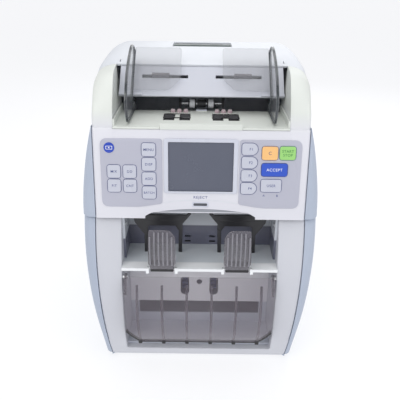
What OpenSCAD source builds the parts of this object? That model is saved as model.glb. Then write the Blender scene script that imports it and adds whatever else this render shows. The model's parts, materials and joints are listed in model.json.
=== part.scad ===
// Two-pocket note counter: hopper on top, control panel, reject pocket, covered stacker pocket.
// Origin: centre of the footprint on the table. X to the right, front faces -Y, Z up.

/* [Body] */
// Clear width of the two note pockets
pocket_w = 201; // [166:1:242]
// Width of each front pillar beside the pockets
pillar_w = 33.5; // [28:0.5:42]
// How far each side cover bulges past the pillars at the seam
cheek_w = 16; // [12:0.5:22]
// Overall depth, from the bulge of the stacker cover to the rear panel
body_d = 352; // [292:1:430]
// Height of the seam below the upper unit
seam_z = 218; // [196:1:262]
// Height of the rubber feet below the covers
foot_h = 5; // [3:0.5:8]
// Wall of the moulded covers
wall = 3; // [2:0.1:4]
// Thickness of the folded steel sheet
sheet = 2; // [1.2:0.1:2.5]

/* [Front] */
// Radius of the bowed front
front_r = 300; // [250:5:500]
// Height at which the front bows out furthest
bulge_z = 95; // [75:1:115]
// How far the stacker cover stands proud of the pillars
cover_proud = 11; // [6:0.5:14]
// Height of the sill under the stacker pocket
sill_z = 18.5; // [16:0.5:24]
// Height of the reject pocket opening
reject_h = 63.4; // [58:0.1:76]
// Depth of the pockets behind the frame's front at the seam
pocket_back = 43; // [38:0.5:50]
// Radius of the stacker cover
cover_r = 103; // [95:1:115]
// Thickness of the smoked mouldings
smoke_t = 2.6; // [2:0.1:3.2]

/* [Stoppers] */
// Distance of each stopper from the middle of the machine
stopper_x = 48.5; // [46:0.5:54]
// Width of a stopper plate
stopper_w = 35.5; // [28:0.5:36]
// Height of a stopper above its pin
stopper_h = 58; // [48:0.5:58]
// Diameter of the stopper pins
stopper_pin_d = 4; // [3:0.1:4]

/* [Control panel] */
// Height of the control panel along its slope
panel_len = 109; // [104:1:130]
// Lean of the control panel
panel_lean = 7.65; // [4:0.05:12]
// Width of the visible display
display_w = 80; // [66:1:84]
// Height of the visible display
display_h = 61.9; // [50:0.1:64]
// Thickness of the keypad overlays
overlay_t = 0.8; // [0.5:0.1:1.2]
// How far the keys stand out of the overlays
key_proud = 1.2; // [0.8:0.1:2]

/* [Hopper] */
// Width of the brow on each side of the hopper
brow_w = 25.5; // [22:0.5:32]
// Distance of each note guide from the side of the hopper
guide_inset = 17.7; // [15:0.1:21]
// Thickness of a note guide
guide_t = 3; // [2:0.1:3.4]
// Radius of the brow beside the hopper
wing_r = 58; // [50:1:64]
// Pitch radius of the guide pinion
pinion_r = 8; // [8:1:8]
// Radius of the pickup rollers
pickup_r = 17; // [14:0.5:18]

/* [Top] */
// Rise of the crowned top cover above the brow
crown_rise = 11.5; // [8:0.5:16]
// Radius of the rear edge of the top cover
rear_r = 60; // [40:1:70]
// Radius of the upper side edges
edge_r = 30; // [24:1:44]
// Width of the carry handle
handle_w = 83; // [70:1:100]
// Distance of the handle bar from the front edge of the top cover
handle_back = 86; // [70:1:100]

/* [Fits] */
// Radial clearance of a running fit
fit = 0.05; // [0.02:0.01:0.1]
// Clearance round a key or a moulded cover
gap = 0.3; // [0.2:0.05:0.4]
// Height of the seam between the units
seam_gap = 2; // [1.5:0.1:3]

/* [Hidden] */
$fn = 72;
big_fn = 256;          // for the long shallow arcs of the covers
eps = 0.01;
reach = 600;           // longer than any outline

// The bows of the front and the sides are drawn for a seam at plan_seam
plan_seam = 218;
tall = seam_z / plan_seam;
bow_r = front_r * tall * tall;
bow_z = bulge_z * tall;
cover_bow_r = cover_r * tall * tall;

// Widths
half_pocket = pocket_w / 2;
half_pillar = half_pocket + pillar_w;
half_body = half_pillar + cheek_w;
half_hood = half_pillar - 1.5;
half_hopper = half_hood - brow_w;
guide_x = half_hopper - guide_inset;
flange_x = half_pillar - 14;        // outer face of the chassis flanges
arm_x = flange_x - sheet - 3;       // outer face of the upper frame's side plates
pillar_r = 1890 * tall * tall;                    // sideways bow of the pillars
cheek_low_r = 900 * tall * tall;                  // bow of the side covers below the seam
cheek_top_r = 400;                  // bow of the side covers above the seam

// Front and rear
front_y = -body_d / 2;
rear_y = body_d / 2;
bow_y = front_y + cover_proud + bow_r;
function face_y(z) = bow_y - sqrt(bow_r * bow_r - (z - bow_z) * (z - bow_z));
seam_y = face_y(seam_z);
pocket_y = seam_y + pocket_back;    // back wall of both pockets
frame_y = seam_y + 21;              // rear edge of the front frame's returns

// Heights
base_z = foot_h;
pan_z = foot_h + 3;
low_top_z = seam_z - seam_gap / 2;
up_bottom_z = seam_z + seam_gap / 2;
tray_z = seam_z - reject_h;         // floor of the reject pocket
tray_t = 2.4;

// Hinge of the upper unit
hinge_back = 10;
hinge_y = rear_y - hinge_back;
hinge_z = seam_z + 6;
hinge_d = 6;
hinge_drop = 6.3;                   // the base stands this far below the seam behind the hinge
steel_top_z = seam_z - 10;

// Control panel: origin, directions up the panel and out of it
lean_s = sin(panel_lean);
lean_c = cos(panel_lean);
panel_y = seam_y - 5.5;
panel_z = seam_z + 4;
panel_top_y = panel_y + panel_len * lean_s;
panel_top_z = panel_z + panel_len * lean_c;

// Brow and crown
hopper_z = panel_top_z + 4;         // top of the hopper floor
wing_v = panel_len + 10.8;          // where the brow starts up the panel
wing_y = panel_y + wing_v * lean_s + wing_r * lean_c;
wing_z = panel_z + wing_v * lean_c - wing_r * lean_s;
brow_z = wing_z + wing_r;
crease_y = wing_y + 35;             // front edge of the top cover
crown_r = 400;
crown_y = crease_y + sqrt(crown_r * crown_r - (crown_r - crown_rise) * (crown_r - crown_rise));
crown_z = brow_z + crown_rise;
rear_cy = rear_y - rear_r;
rear_cz = crown_z - crown_r + sqrt((crown_r - rear_r) * (crown_r - rear_r) - (rear_cy - crown_y) * (rear_cy - crown_y));

// Hopper back plate at 45 degrees: lip and thickness
lip_y = wing_y + 2.7;
lip_z = hopper_z + 23;
plate_t = 2.5;
slope_len = (crease_y - lip_y) * sqrt(2) - 1;
slot_s = 29.5;                      // middle of the guide slots up the slope
slot_h = 5;
slot_in = 18;
slot_out = guide_x - 11.3;
guide_out = 12;                     // travel outwards and inwards
guide_in = 23;
clip_in = slot_in + guide_in + 1;
clip_out = slot_out - guide_out - 1;

// Shafts
stack_y = pocket_y + 22;
stack_z = 84;
reject_sy = pocket_y + 24;
reject_sz = tray_z + 37;
motor_y = pocket_y + 95;
motor_z = 90;
shaft_d = 8;
belt_x = flange_x + 3;
belt_w = 8;
drive_r = 12;
driven_r = 14;
pickup_y = crease_y - 46;
pickup_z = hopper_z - pickup_r + 2.4;
feed_y = crease_y - 9;
feed_z = hopper_z + 8;
feed_r = 6.3;
cover_py = front_y + 20.5;          // pin of the stacker cover
cover_pz = tray_z - 16;
cover_cy = front_y + cover_bow_r;
cover_top_z = cover_pz + 5;
cover_bottom_z = sill_z + 11.5;
half_cover = half_pocket - 2.5;
stop_y = front_y + 18.5;            // pin of the stoppers
stop_z = tray_z - 1.6;
cut_in = stopper_x - stopper_w / 2 + 1.2;   // cut-outs of the reject tray
cut_out = stopper_x + stopper_w / 2 - 1.2;
hub_in = cut_in + 1.5;
hub_out = cut_out - 1.5;
foot_x = half_body - 55;
guide_low_z = hopper_z + 2;

// Handle well
bar_y = crease_y + handle_back;     // front face of the bar
bar_d = 14;
handle_py = bar_y + 33;
handle_pz = crown_z - 9;
well_y0 = bar_y - 5;
well_y1 = handle_py + 9;
well_half = handle_w / 2 + 1.5;
well_z = crown_z - 25;

// Keypad overlays: inner and outer edges
overlay_in = display_w / 2 + 7.5;
overlay_out = half_hood - 9.7;

// Plan of the keys, drawn for overlays from plan_in to plan_out:
// name, middle across, middle up the panel, width, height, 1 = round right end
plan_in = 47.5;
plan_out = 122.8;
menu_x = -63.7;
left_x = [-106.8, -87.3];
f_x = 59.5;
PLAN = [
    ["menu_key", menu_x, 85.6, 17, 16.3, 0],
    ["disp_key", menu_x, 67.4, 17, 16.3, 0],
    ["add_key", menu_x, 49.2, 17, 16.3, 0],
    ["batch_key", menu_x, 31.3, 17, 16.3, 0],
    ["mix_key", left_x[0], 57.9, 16.2, 16.3, 0],
    ["dd_key", left_x[1], 57.9, 16.2, 16.3, 0],
    ["fit_key", left_x[0], 39.8, 16.2, 16.3, 0],
    ["count_key", left_x[1], 39.8, 16.2, 16.3, 0],
    ["f1_key", f_x, 87.7, 19.4, 14.5, 1],
    ["f2_key", f_x, 71, 19.4, 14.5, 1],
    ["f3_key", f_x, 54.5, 19.4, 14.5, 1],
    ["f4_key", f_x, 38.2, 19.4, 14.5, 1],
    ["clear_key", 84, 82.9, 19.5, 16.8, 0],
    ["start_stop_key", 105.6, 83.2, 19.6, 16.8, 0],
    ["accept_key", 90.4, 62.2, 31.9, 16.3, 0],
    ["user_key", 87.2, 42, 25.5, 16.1, 0],
];
plan_k = (overlay_out - overlay_in) / (plan_out - plan_in);
function planned(x) = sign(x) * (overlay_in + (abs(x) - plan_in) * plan_k);
KEYS = [for (k = PLAN) [k[0], planned(k[1]), k[2], k[3] * plan_k, k[4], k[5]]];

// ---- helpers ----

// A block between two corners
module block(x0, x1, y0, y1, z0, z1) {
    translate([x0, y0, z0]) cube([x1 - x0, y1 - y0, z1 - z0]);
}

// An outline drawn as (Y, Z), from x0 to x1
module along_x(x0, x1) {
    translate([x0, 0, 0]) rotate([90, 0, 90]) linear_extrude(x1 - x0) children();
}

// An outline drawn as (X, Z), from y0 to y1
module along_y(y0, y1) {
    translate([0, y1, 0]) rotate([90, 0, 0]) linear_extrude(y1 - y0) children();
}

// A round rod along X
module rod(x0, x1, y, z, r) {
    translate([x0, y, z]) rotate([0, 90, 0]) cylinder(r = r, h = x1 - x0);
}

// The shape and its mirror image
module both() {
    children();
    mirror([1, 0, 0]) children();
}

// X across, Z up the control panel, -Y out of it
module on_panel() {
    translate([0, panel_y, panel_z]) rotate([-panel_lean, 0, 0]) children();
}

// X across, Y up the hopper's back plate, Z out of it
module on_slope() {
    translate([0, lip_y, lip_z]) rotate([45, 0, 0]) children();
}

// ---- envelopes, inset by i ----

module bowed_outline(half, r, i, z0, z1) {
    intersection() {
        translate([half - r, seam_z]) circle(r = r - i, $fn = big_fn);
        translate([r - half, seam_z]) circle(r = r - i, $fn = big_fn);
        translate([-half, z0]) square([2 * half, z1 - z0]);
    }
}

module low_profile(i) {
    up = i > 0 ? 20 : 0;
    intersection() {
        translate([bow_y, bow_z]) circle(r = bow_r - i, $fn = big_fn);
        polygon([[front_y, base_z + i], [rear_y - i, base_z + i],
            [rear_y - i, seam_z - hinge_drop + up], [hinge_y - 6, seam_z - hinge_drop + up],
            [hinge_y - 6, low_top_z + up], [front_y, low_top_z + up]]);
    }
}

module low_envelope(i) {
    intersection() {
        along_y(front_y - 1, rear_y + 1)
            bowed_outline(half_body, cheek_low_r, i, base_z + i, low_top_z + (i > 0 ? 30 : 0));
        along_x(-half_body, half_body) low_profile(i);
    }
}

module up_outline(i) {
    z0 = up_bottom_z - (i > 0 ? 20 : 0);
    translate([-half_hood + i, z0])
        square([2 * (half_hood - i), crown_z - edge_r - z0]);
    translate([-half_hood + edge_r, z0])
        square([2 * (half_hood - edge_r), crown_z - i - z0]);
    translate([half_hood - edge_r, crown_z - edge_r]) circle(r = edge_r - i, $fn = 128);
    translate([edge_r - half_hood, crown_z - edge_r]) circle(r = edge_r - i, $fn = 128);
}

// Side view of the upper unit in front of the top cover
module brow_profile(i) {
    z0 = up_bottom_z - (i > 0 ? 20 : 0);
    drop = (panel_z - z0) / lean_c;
    polygon([[panel_y + i * lean_c - drop * lean_s, panel_z - i * lean_s - drop * lean_c],
        [wing_y - (wing_r - i) * lean_c, wing_z + (wing_r - i) * lean_s],
        [wing_y, wing_z], [wing_y, brow_z - i], [crease_y + 1, brow_z - i],
        [crease_y + 1, z0]]);
    translate([wing_y, wing_z]) circle(r = wing_r - i, $fn = 128);
}

// Side view of the top cover
module crown_profile(i) {
    z0 = up_bottom_z - (i > 0 ? 20 : 0);
    out_y = crown_y + (rear_cy - crown_y) * 2;
    out_z = crown_z - crown_r + (rear_cz - crown_z + crown_r) * 2;
    intersection() {
        translate([crown_y, crown_z - crown_r]) circle(r = crown_r - i, $fn = big_fn);
        polygon([[crease_y - 1, z0], [crease_y - 1, out_z], [out_y, out_z],
            [rear_cy, rear_cz], [rear_cy, z0]]);
    }
    translate([rear_cy, rear_cz]) circle(r = rear_r - i, $fn = 128);
    translate([rear_cy - 1, z0]) square([rear_r - i + 1, rear_cz - z0]);
}

// ---- base unit, fixed ----

module chassis() {
    color([0.62, 0.64, 0.66]) difference() {
        union() {
            block(-flange_x, flange_x, frame_y, rear_y - wall, pan_z, pan_z + sheet);
            both() {
                block(flange_x - sheet, flange_x, frame_y, rear_y - wall, pan_z, steel_top_z);
                block(flange_x - 16, flange_x, rear_y - wall - sheet, rear_y - wall,
                    pan_z, steel_top_z);
                along_x(flange_x - sheet, flange_x) {
                    translate([hinge_y, hinge_z]) circle(r = 6);
                    translate([hinge_y - 6, steel_top_z - 1])
                        square([7, hinge_z - steel_top_z + 1]);
                }
            }
        }
        rod(-reach, reach, hinge_y, hinge_z, hinge_d / 2);
        rod(-reach, reach, stack_y, stack_z, shaft_d / 2 + fit);
        rod(-reach, reach, reject_sy, reject_sz, shaft_d / 2 + fit);
        rod(0, reach, motor_y, motor_z, 10);
        for (z = screw_zs(), s = [-1, 1]) translate([s * screw_x, rear_y + 1, z])
            rotate([90, 0, 0]) cylinder(r = 1.5, h = 20);
    }
}
screw_x = flange_x - 8;
function screw_zs() = [30, steel_top_z - 20];

module rubber_feet() {
    color([0.08, 0.08, 0.09])
        for (x = [-foot_x, foot_x], y = [frame_y + 14, rear_y - 34])
            translate([x, y, 0]) {
                cylinder(r1 = 8.5, r2 = 9.5, h = foot_h);
                translate([0, 0, foot_h - eps]) cylinder(r = 6, h = pan_z - foot_h + eps);
            }
}

module pillar_body(i, y1) {
    intersection() {
        along_y(front_y, y1)
            bowed_outline(half_pillar, pillar_r, i, base_z + i, low_top_z - i);
        along_x(-half_pillar, half_pillar) intersection() {
            low_profile(0);
            translate([bow_y, bow_z]) circle(r = bow_r - i, $fn = big_fn);
        }
    }
}

module front_frame() {
    liner = half_pocket + wall;
    color([0.90, 0.90, 0.93]) difference() {
        union() {
            difference() {
                pillar_body(0, frame_y);
                difference() {
                    pillar_body(wall, frame_y + 1);
                    both() block(half_pocket, liner, front_y, rear_y, 0, seam_z);
                    block(-liner, liner, front_y, rear_y, sill_z - wall, seam_z);
                    block(-liner, liner, front_y, rear_y, 0, pan_z);
                }
            }
            both() {
                intersection() {
                    block(half_pocket, liner, front_y, pocket_y + 1.5, pan_z + sheet, low_top_z);
                    pillar_body(0, rear_y);
                }
                block(half_pocket, flange_x - sheet, frame_y, frame_y + 3, 30, steel_top_z - 8);
            }
        }
        block(-half_pocket, half_pocket, front_y, rear_y, sill_z, seam_z);
        rod(-reach, reach, cover_py, cover_pz, 2.5);
    }
}

module side_cover_right() {
    color([0.70, 0.73, 0.79]) {
        difference() {
            intersection() {
                low_envelope(0);
                block(flange_x + 0.4, half_body, front_y, rear_y, 0, seam_z);
            }
            low_envelope(wall);
            intersection() {
                block(0, half_body, front_y, frame_y + 0.4, 0, seam_z);
                along_y(front_y, frame_y + 1)
                    bowed_outline(half_pillar + gap, pillar_r, 0, 0, seam_z);
            }
        }
        intersection() {
            low_envelope(wall / 2);
            union() {
                for (y = [frame_y + 9, rear_y - 30], z = [45, steel_top_z - 25])
                    rod(flange_x, half_body, y, z, 5);
                for (y = [frame_y + 9, rear_y - 30])
                    block(flange_x, half_body, y - 1, y + 1, 38, steel_top_z - 20);
            }
        }
    }
}
module side_cover_left() mirror([1, 0, 0]) side_cover_right();

inlet_x = -flange_x + 46;
switch_x = inlet_x + 36;
port_x = [20, 48, 74];
socket_z = 34;

module rear_cover() {
    half = flange_x;
    color([0.72, 0.74, 0.79]) difference() {
        block(-half, half, rear_y - wall, rear_y, base_z, seam_z - hinge_drop);
        for (r = [0:5], c = [-4:4])
            block(c * 20 - 7, c * 20 + 7, rear_y - 4, rear_y + 1, 96 + r * 9, 99 + r * 9);
        block(inlet_x - 15, inlet_x + 15, rear_y - 4, rear_y + 1, socket_z - 12, socket_z + 12);
        block(switch_x - 8, switch_x + 8, rear_y - 4, rear_y + 1, socket_z - 12, socket_z + 12);
        for (x = port_x)
            block(x - 9, x + 9, rear_y - 4, rear_y + 1, socket_z - 7, socket_z + 7);
        for (z = screw_zs(), s = [-1, 1]) translate([s * screw_x, rear_y, z])
            rotate([90, 0, 0]) {
                translate([0, 0, -1]) cylinder(r = 4, h = 2.6);
                cylinder(r = 1.5, h = 20);
            }
    }
}

module stacker_tray() {
    top = tray_z - tray_t - 3;
    slot_low = stack_z - 15;
    slot_up = stack_z + 14;
    color([0.78, 0.81, 0.87]) difference() {
        union() {
            block(-half_pocket, half_pocket, seam_y - 5, pocket_y + 1, sill_z, sill_z + 3);
            along_x(-half_pocket + 0.2, half_pocket - 0.2)
                polygon([[pocket_y, sill_z], [pocket_y + 2, sill_z], [pocket_y + 2, stack_z - 4],
                    [pocket_y + 6, top], [pocket_y + 4, top], [pocket_y, stack_z - 4]]);
        }
        block(-half_pocket + 12, half_pocket - 12, pocket_y - 1, pocket_y + 9, 37, 58);
        for (x = [-21, 21]) {
            translate([x, 0, slot_low + 6.25]) rotate([90, 0, 0])
                cylinder(r = 6.25, h = 2 * reach, center = true);
            block(x - 6.25, x + 6.25, pocket_y - 1, pocket_y + 9, slot_low + 6.25, slot_up);
        }
        translate([0, 0, stack_z + 7]) rotate([90, 0, 0])
            cylinder(r = 4, h = 2 * reach, center = true);
    }
}

// The floor of the reject pocket, open where the stoppers swing
module reject_tray() {
    lip_y0 = seam_y - 23;
    color([0.78, 0.81, 0.87]) difference() {
        union() {
            block(-half_pocket, half_pocket, lip_y0, pocket_y + 2, tray_z - tray_t, tray_z);
            block(-half_pocket, half_pocket, lip_y0 - 1.5, lip_y0 + 1, tray_z - tray_t, tray_z + 1.4);
            both() {
                block(cut_in - 4, cut_in, lip_y0 - 1.5, stop_y + 4.5, stop_z - 4.5, tray_z);
                block(cut_out, cut_out + 4, lip_y0 - 1.5, stop_y + 4.5, stop_z - 4.5, tray_z);
            }
        }
        both() {
            block(cut_in, cut_out, front_y, seam_y + 13, tray_z - 10, tray_z + 10);
            rod(cut_in - 3, cut_out + 3, stop_y, stop_z, stopper_pin_d / 2);
        }
    }
}

module reject_backplate() {
    lip = tray_z + 25.5;
    top = low_top_z - 8;
    side_top = low_top_z - 1;
    color([0.74, 0.77, 0.83]) difference() {
        union() {
            along_x(-half_pocket, half_pocket)
                polygon([[pocket_y, tray_z], [pocket_y + 2, tray_z], [pocket_y + 2, lip],
                    [pocket_y + 10, top], [pocket_y + 8, top], [pocket_y, lip]]);
            both() block(half_pocket - 3, half_pocket, seam_y + 4, pocket_y + 1, tray_z, side_top);
        }
        both() for (z = [tray_z + 3, tray_z + 11])
            block(13, 21, pocket_y - 1, pocket_y + 3, z, z + 3);
        both() for (y = [seam_y + 12, seam_y + 32])
            rod(half_pocket - 4, reach, y, tray_z + 48, 1.5);
    }
}

// Two forks that keep the notes square to the stoppers
module reject_guides() {
    y0 = pocket_y - 23;
    top = low_top_z - 2;
    k = half_pocket / 100.5;        // the forks are drawn for this half width
    outline = [[88, top - 9], [87, top - 15], [74.5, top - 33], [75, tray_z], [70.5, tray_z],
        [69, top - 22], [67, top - 20], [33, top - 20], [28.5, top - 27], [29, tray_z],
        [24, tray_z], [23, top - 17], [11.5, top - 2], [15, top - 0.5], [26, top - 12],
        [76, top - 12], [84, top - 4]];
    color([0.07, 0.07, 0.08]) both() along_y(y0, y0 + 3)
        polygon([for (p = outline) [p[0] * k, p[1]]]);
}

module power_supply() {
    y0 = rear_y - 110;
    color([0.70, 0.71, 0.72]) difference() {
        block(-flange_x + 14, -flange_x + 94, y0, rear_y - 32, pan_z + sheet, pan_z + 48);
        for (r = [0:6])
            block(-flange_x + 24, -flange_x + 84, y0 + 10 + r * 9, y0 + 13 + r * 9,
                pan_z + 46, pan_z + 49);
    }
}

module main_board() {
    x0 = -flange_x + sheet;
    y0 = pocket_y + 80;
    color([0.12, 0.38, 0.22]) {
        for (y = [y0 + 8, y0 + 92], z = [102, seam_z - 28])
            rod(x0, x0 + 5, y, z, 3);
        block(x0 + 5, x0 + 6.6, y0, y0 + 100, 95, seam_z - 20);
        for (k = [0:2])
            block(x0 + 6.6, x0 + 9 + 3 * k, y0 + 12 + k * 26, y0 + 30 + k * 26, 125, 150);
        block(x0 + 6.6, x0 + 18, y0 + 10, y0 + 60, 105, 113);
    }
}

module drive_motor() {
    color([0.25, 0.26, 0.28]) {
        rod(flange_x - sheet - 62, flange_x - sheet - 2, motor_y, motor_z, 27);
        block(flange_x - sheet - 2, flange_x - sheet, motor_y - 34, motor_y + 34,
            motor_z - 30, motor_z + 30);
        rod(flange_x - sheet - 1, belt_x - 1, motor_y, motor_z, 3);
        rod(belt_x - 1 - eps, belt_x + belt_w + 3, motor_y, motor_z, 3);
    }
}

module belt_loop(grow) {
    hull() {
        translate([motor_y, motor_z]) circle(r = drive_r + grow, $fn = 64);
        translate([stack_y, stack_z]) circle(r = driven_r + grow, $fn = 64);
        translate([reject_sy, reject_sz]) circle(r = driven_r + grow, $fn = 64);
    }
}

module drive_belt() {
    color([0.10, 0.10, 0.11]) along_x(belt_x, belt_x + belt_w) difference() {
        belt_loop(gap + 1.6);
        belt_loop(gap);
    }
}

module rear_sockets() {
    y0 = rear_y - 26;
    color([0.06, 0.06, 0.07]) {
        difference() {
            union() {
                block(inlet_x - 15, inlet_x + 15, y0, rear_y, socket_z - 12, socket_z + 12);
                block(switch_x - 8, switch_x + 8, y0, rear_y, socket_z - 12, socket_z + 12);
            }
            block(inlet_x - 12, inlet_x + 12, y0 + 8, rear_y + 1, socket_z - 8.5, socket_z + 8.5);
            block(switch_x - 5.6, switch_x + 5.6, y0 + 4, rear_y + 1, socket_z - 10, socket_z + 10);
            rod(switch_x - 8, switch_x + 8, rear_y - 9, socket_z, 1.5 + fit);
        }
        for (x = [-6, 0, 6])
            block(inlet_x + x - 1, inlet_x + x + 1, y0 + 7, rear_y - 3, socket_z - 2, socket_z + 2);
        for (x = port_x) difference() {
            block(x - 9, x + 9, rear_y - 12, rear_y, socket_z - 7, socket_z + 7);
            block(x - 7, x + 7, rear_y - 8, rear_y + 1, socket_z - 4.5, socket_z + 4.5);
        }
    }
}

module case_screws() {
    color([0.75, 0.75, 0.77]) {
        for (z = screw_zs(), s = [-1, 1]) translate([s * screw_x, rear_y - 1.6, z]) {
            rotate([90, 0, 0]) cylinder(r = 1.5, h = 7);
            rotate([-90, 0, 0]) difference() {
                cylinder(r = 3.6, h = 1.5);
                translate([-2.5, -0.5, 0.7]) cube([5, 1, 2]);
            }
        }
        both() for (y = [seam_y + 12, seam_y + 32]) {
            rod(half_pocket - 3, half_pocket, y, tray_z + 48, 1.5);
            rod(half_pocket - 4.2, half_pocket - 3, y, tray_z + 48, 3.2);
        }
    }
}

module hinge_pins() {
    color([0.80, 0.81, 0.82]) both() {
        rod(arm_x - sheet - 2, flange_x, hinge_y, hinge_z, hinge_d / 2);
        rod(flange_x, flange_x + 1.6, hinge_y, hinge_z, 4.5);
        rod(half_cover - 4, half_pocket + wall, cover_py, cover_pz, 2.5);
        rod(cut_in - 3, cut_out + 3, stop_y, stop_z, stopper_pin_d / 2);
    }
}

// ---- base unit, moving ----

module power_switch() {
    py = rear_y - 9;
    color([0.10, 0.10, 0.11]) {
        intersection() {
            rod(switch_x - 5, switch_x + 5, py, socket_z, 9.2);
            along_x(switch_x - 6, switch_x + 6)
                polygon([[py - 5, socket_z - 5], [py - 5, socket_z + 5], [py + 2, socket_z + 10],
                    [py + 8, socket_z + 9], [py + 5, socket_z], [py + 6, socket_z - 9],
                    [py + 2, socket_z - 10]]);
        }
        rod(switch_x - 7.5, switch_x + 7.5, py, socket_z, 1.5);
    }
}

// Curved smoked cover with ribs inside, hung on two pins
module stacker_cover() {
    rib_x = half_cover / 98 * 16.25;
    color([0.45, 0.38, 0.45, 0.55]) difference() {
        union() {
            intersection() {
                along_x(-half_cover, half_cover) difference() {
                    translate([cover_cy, bow_z - 2]) circle(r = cover_bow_r, $fn = big_fn);
                    translate([cover_cy, bow_z - 2]) circle(r = cover_bow_r - smoke_t, $fn = big_fn);
                }
                along_y(front_y - 1, seam_y)
                    polygon([[-half_cover, cover_top_z], [-half_cover, cover_bottom_z + 28],
                        [17 - half_cover, cover_bottom_z], [half_cover - 17, cover_bottom_z],
                        [half_cover, cover_bottom_z + 28], [half_cover, cover_top_z]]);
            }
            for (k = [-5, -3, -1, 1, 3, 5]) intersection() {
                along_x(k * rib_x - 0.9, k * rib_x + 0.9) difference() {
                    translate([cover_cy, bow_z - 2]) circle(r = cover_bow_r - 1, $fn = big_fn);
                    translate([cover_cy, bow_z - 2]) circle(r = cover_bow_r - 6, $fn = big_fn);
                }
                block(-half_cover, half_cover, front_y, seam_y, cover_bottom_z + 1, cover_pz - 12);
            }
            both() along_x(half_cover - 3, half_cover) {
                translate([cover_py, cover_pz]) circle(r = 4.8);
                polygon([[cover_py - 4, cover_pz + 2], [cover_py + 3, cover_pz - 4],
                    [cover_py - 8, cover_pz - 20], [cover_py - 14, cover_pz - 20],
                    [cover_py - 8, cover_pz + 2]]);
            }
        }
        rod(-reach, reach, cover_py, cover_pz, 2.5 + fit);
    }
}

// Curved ribbed plate on a hub
module reject_stopper_right() {
    r = 90;
    rise = stopper_h - 1;
    cy = stop_y + sqrt(r * r - rise * rise / 4) - 4;
    cz = stop_z + rise / 2;
    half = stopper_w / 2;
    color([0.36, 0.32, 0.38, 0.75]) difference() {
        union() {
            intersection() {
                along_x(stopper_x - half, stopper_x + half) difference() {
                    translate([cy, cz]) circle(r = r, $fn = big_fn);
                    translate([cy, cz]) circle(r = r - smoke_t, $fn = big_fn);
                }
                along_y(front_y - 20, seam_y)
                    polygon([[stopper_x - half, tray_z + 9], [stopper_x - half, stop_z + stopper_h - 9],
                        [stopper_x - half + 7, stop_z + stopper_h], [stopper_x + half - 2, stop_z + stopper_h],
                        [stopper_x + half - 1, tray_z + 9], [hub_out, tray_z + 5], [hub_out, stop_z],
                        [hub_in, stop_z], [hub_in, tray_z + 5]]);
            }
            for (k = [0:5]) intersection() {
                along_x(stopper_x - half + 3.5 + k * 5.5, stopper_x - half + 5.5 + k * 5.5) difference() {
                    translate([cy, cz]) circle(r = r + 2, $fn = big_fn);
                    translate([cy, cz]) circle(r = r - 1, $fn = big_fn);
                }
                block(0, reach, front_y - 20, seam_y, tray_z + 12, stop_z + stopper_h - 10);
            }
            rod(hub_in, hub_out, stop_y, stop_z, 4.3);
            along_x(hub_in, hub_out)
                polygon([[stop_y - 4, stop_z], [stop_y + 4, stop_z], [stop_y + 1, stop_z + 12],
                    [stop_y - 6.5, stop_z + 12]]);
        }
        rod(0, reach, stop_y, stop_z, stopper_pin_d / 2 + fit);
    }
}
module reject_stopper_left() mirror([1, 0, 0]) reject_stopper_right();

// A shaft that runs in both flanges, with a flat-belt pulley on the right
module driven_shaft(y, z) {
    rod(-flange_x - 2, belt_x + belt_w + 1, y, z, shaft_d / 2);
    rod(belt_x - 0.5, belt_x + belt_w + 0.5, y, z, driven_r);
}

module stacker_shaft() {
    color([0.72, 0.73, 0.74]) driven_shaft(stack_y, stack_z);
}

// Two wheels of bent vanes that lay the notes down
module stacker_vanes() {
    color([0.35, 0.42, 0.55]) for (x = [-21, 21]) translate([x - 4, stack_y, stack_z])
        rotate([0, 90, 0]) difference() {
            union() {
                cylinder(r = 9, h = 8);
                for (a = [0:40:359]) rotate(a) translate([0, 6, 0]) cube([14, 1.4, 8]);
            }
            translate([0, 0, -1]) cylinder(r = shaft_d / 2, h = 10);
        }
}

module reject_shaft() {
    color([0.72, 0.73, 0.74]) {
        driven_shaft(reject_sy, reject_sz);
        for (x = [-17, 17]) rod(x - 4, x + 4, reject_sy, reject_sz, 12);
        for (x = [-17, 17], a = [0:60:359]) translate([x, reject_sy, reject_sz])
            rotate([a, 0, 0]) block(-4, 4, -0.8, 0.8, 10, 15.5);
    }
}

module motor_pulley() {
    color([0.85, 0.85, 0.86]) difference() {
        rod(belt_x - 0.5, belt_x + belt_w + 0.5, motor_y, motor_z, drive_r);
        rod(0, reach, motor_y, motor_z, 3 + fit);
    }
}

diverter_y = pocket_y + 20;
diverter_z = tray_z - 8;

// Fingers that send a note to the upper or the lower pocket
module diverter_gate() {
    half = half_pocket - 8;
    color([0.30, 0.33, 0.38]) {
        rod(-flange_x + sheet + 0.5, flange_x - sheet - 0.5, diverter_y, diverter_z, 3);
        for (x = [-3:3]) along_x(x * half / 3.5 - 2, x * half / 3.5 + 2)
            polygon([[diverter_y - 3, diverter_z], [diverter_y, diverter_z + 3],
                [diverter_y + 22, diverter_z + 1], [diverter_y + 22, diverter_z - 1],
                [diverter_y, diverter_z - 3]]);
    }
}

// ---- upper unit, fixed ----

// Front edge of the panel: a shallow finger recess above an arched edge
module panel_arch() {
    arch_r = 354;
    on_panel() {
        translate([0, 1.6, 10.3 - arch_r]) rotate([90, 0, 0]) intersection() {
            cylinder(r = arch_r, h = 10, $fn = big_fn);
            translate([-61.5, arch_r - 20, -1]) cube([123, 30, 12]);
        }
        block(-62, 62, -5, 5, -12, 4.5);
    }
}

module key_plan(k, grow) {
    w = k[3] / 2 + grow;
    h = k[4] / 2 + grow;
    if (k[5] == 0) translate([k[1] - w, k[2] - h]) square([2 * w, 2 * h]);
    else {
        translate([k[1] - w, k[2] - h]) square([2 * w - h, 2 * h]);
        translate([k[1] + w - h, k[2]]) circle(r = h);
    }
}

// From depth y0 to y1 behind the panel face
module key_block(k, grow, y0, y1) {
    on_panel() along_y(y0, y1) key_plan(k, grow);
}

window_v0 = 32.2;
window_v1 = 96.5;
display_v0 = 33.4;

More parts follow.
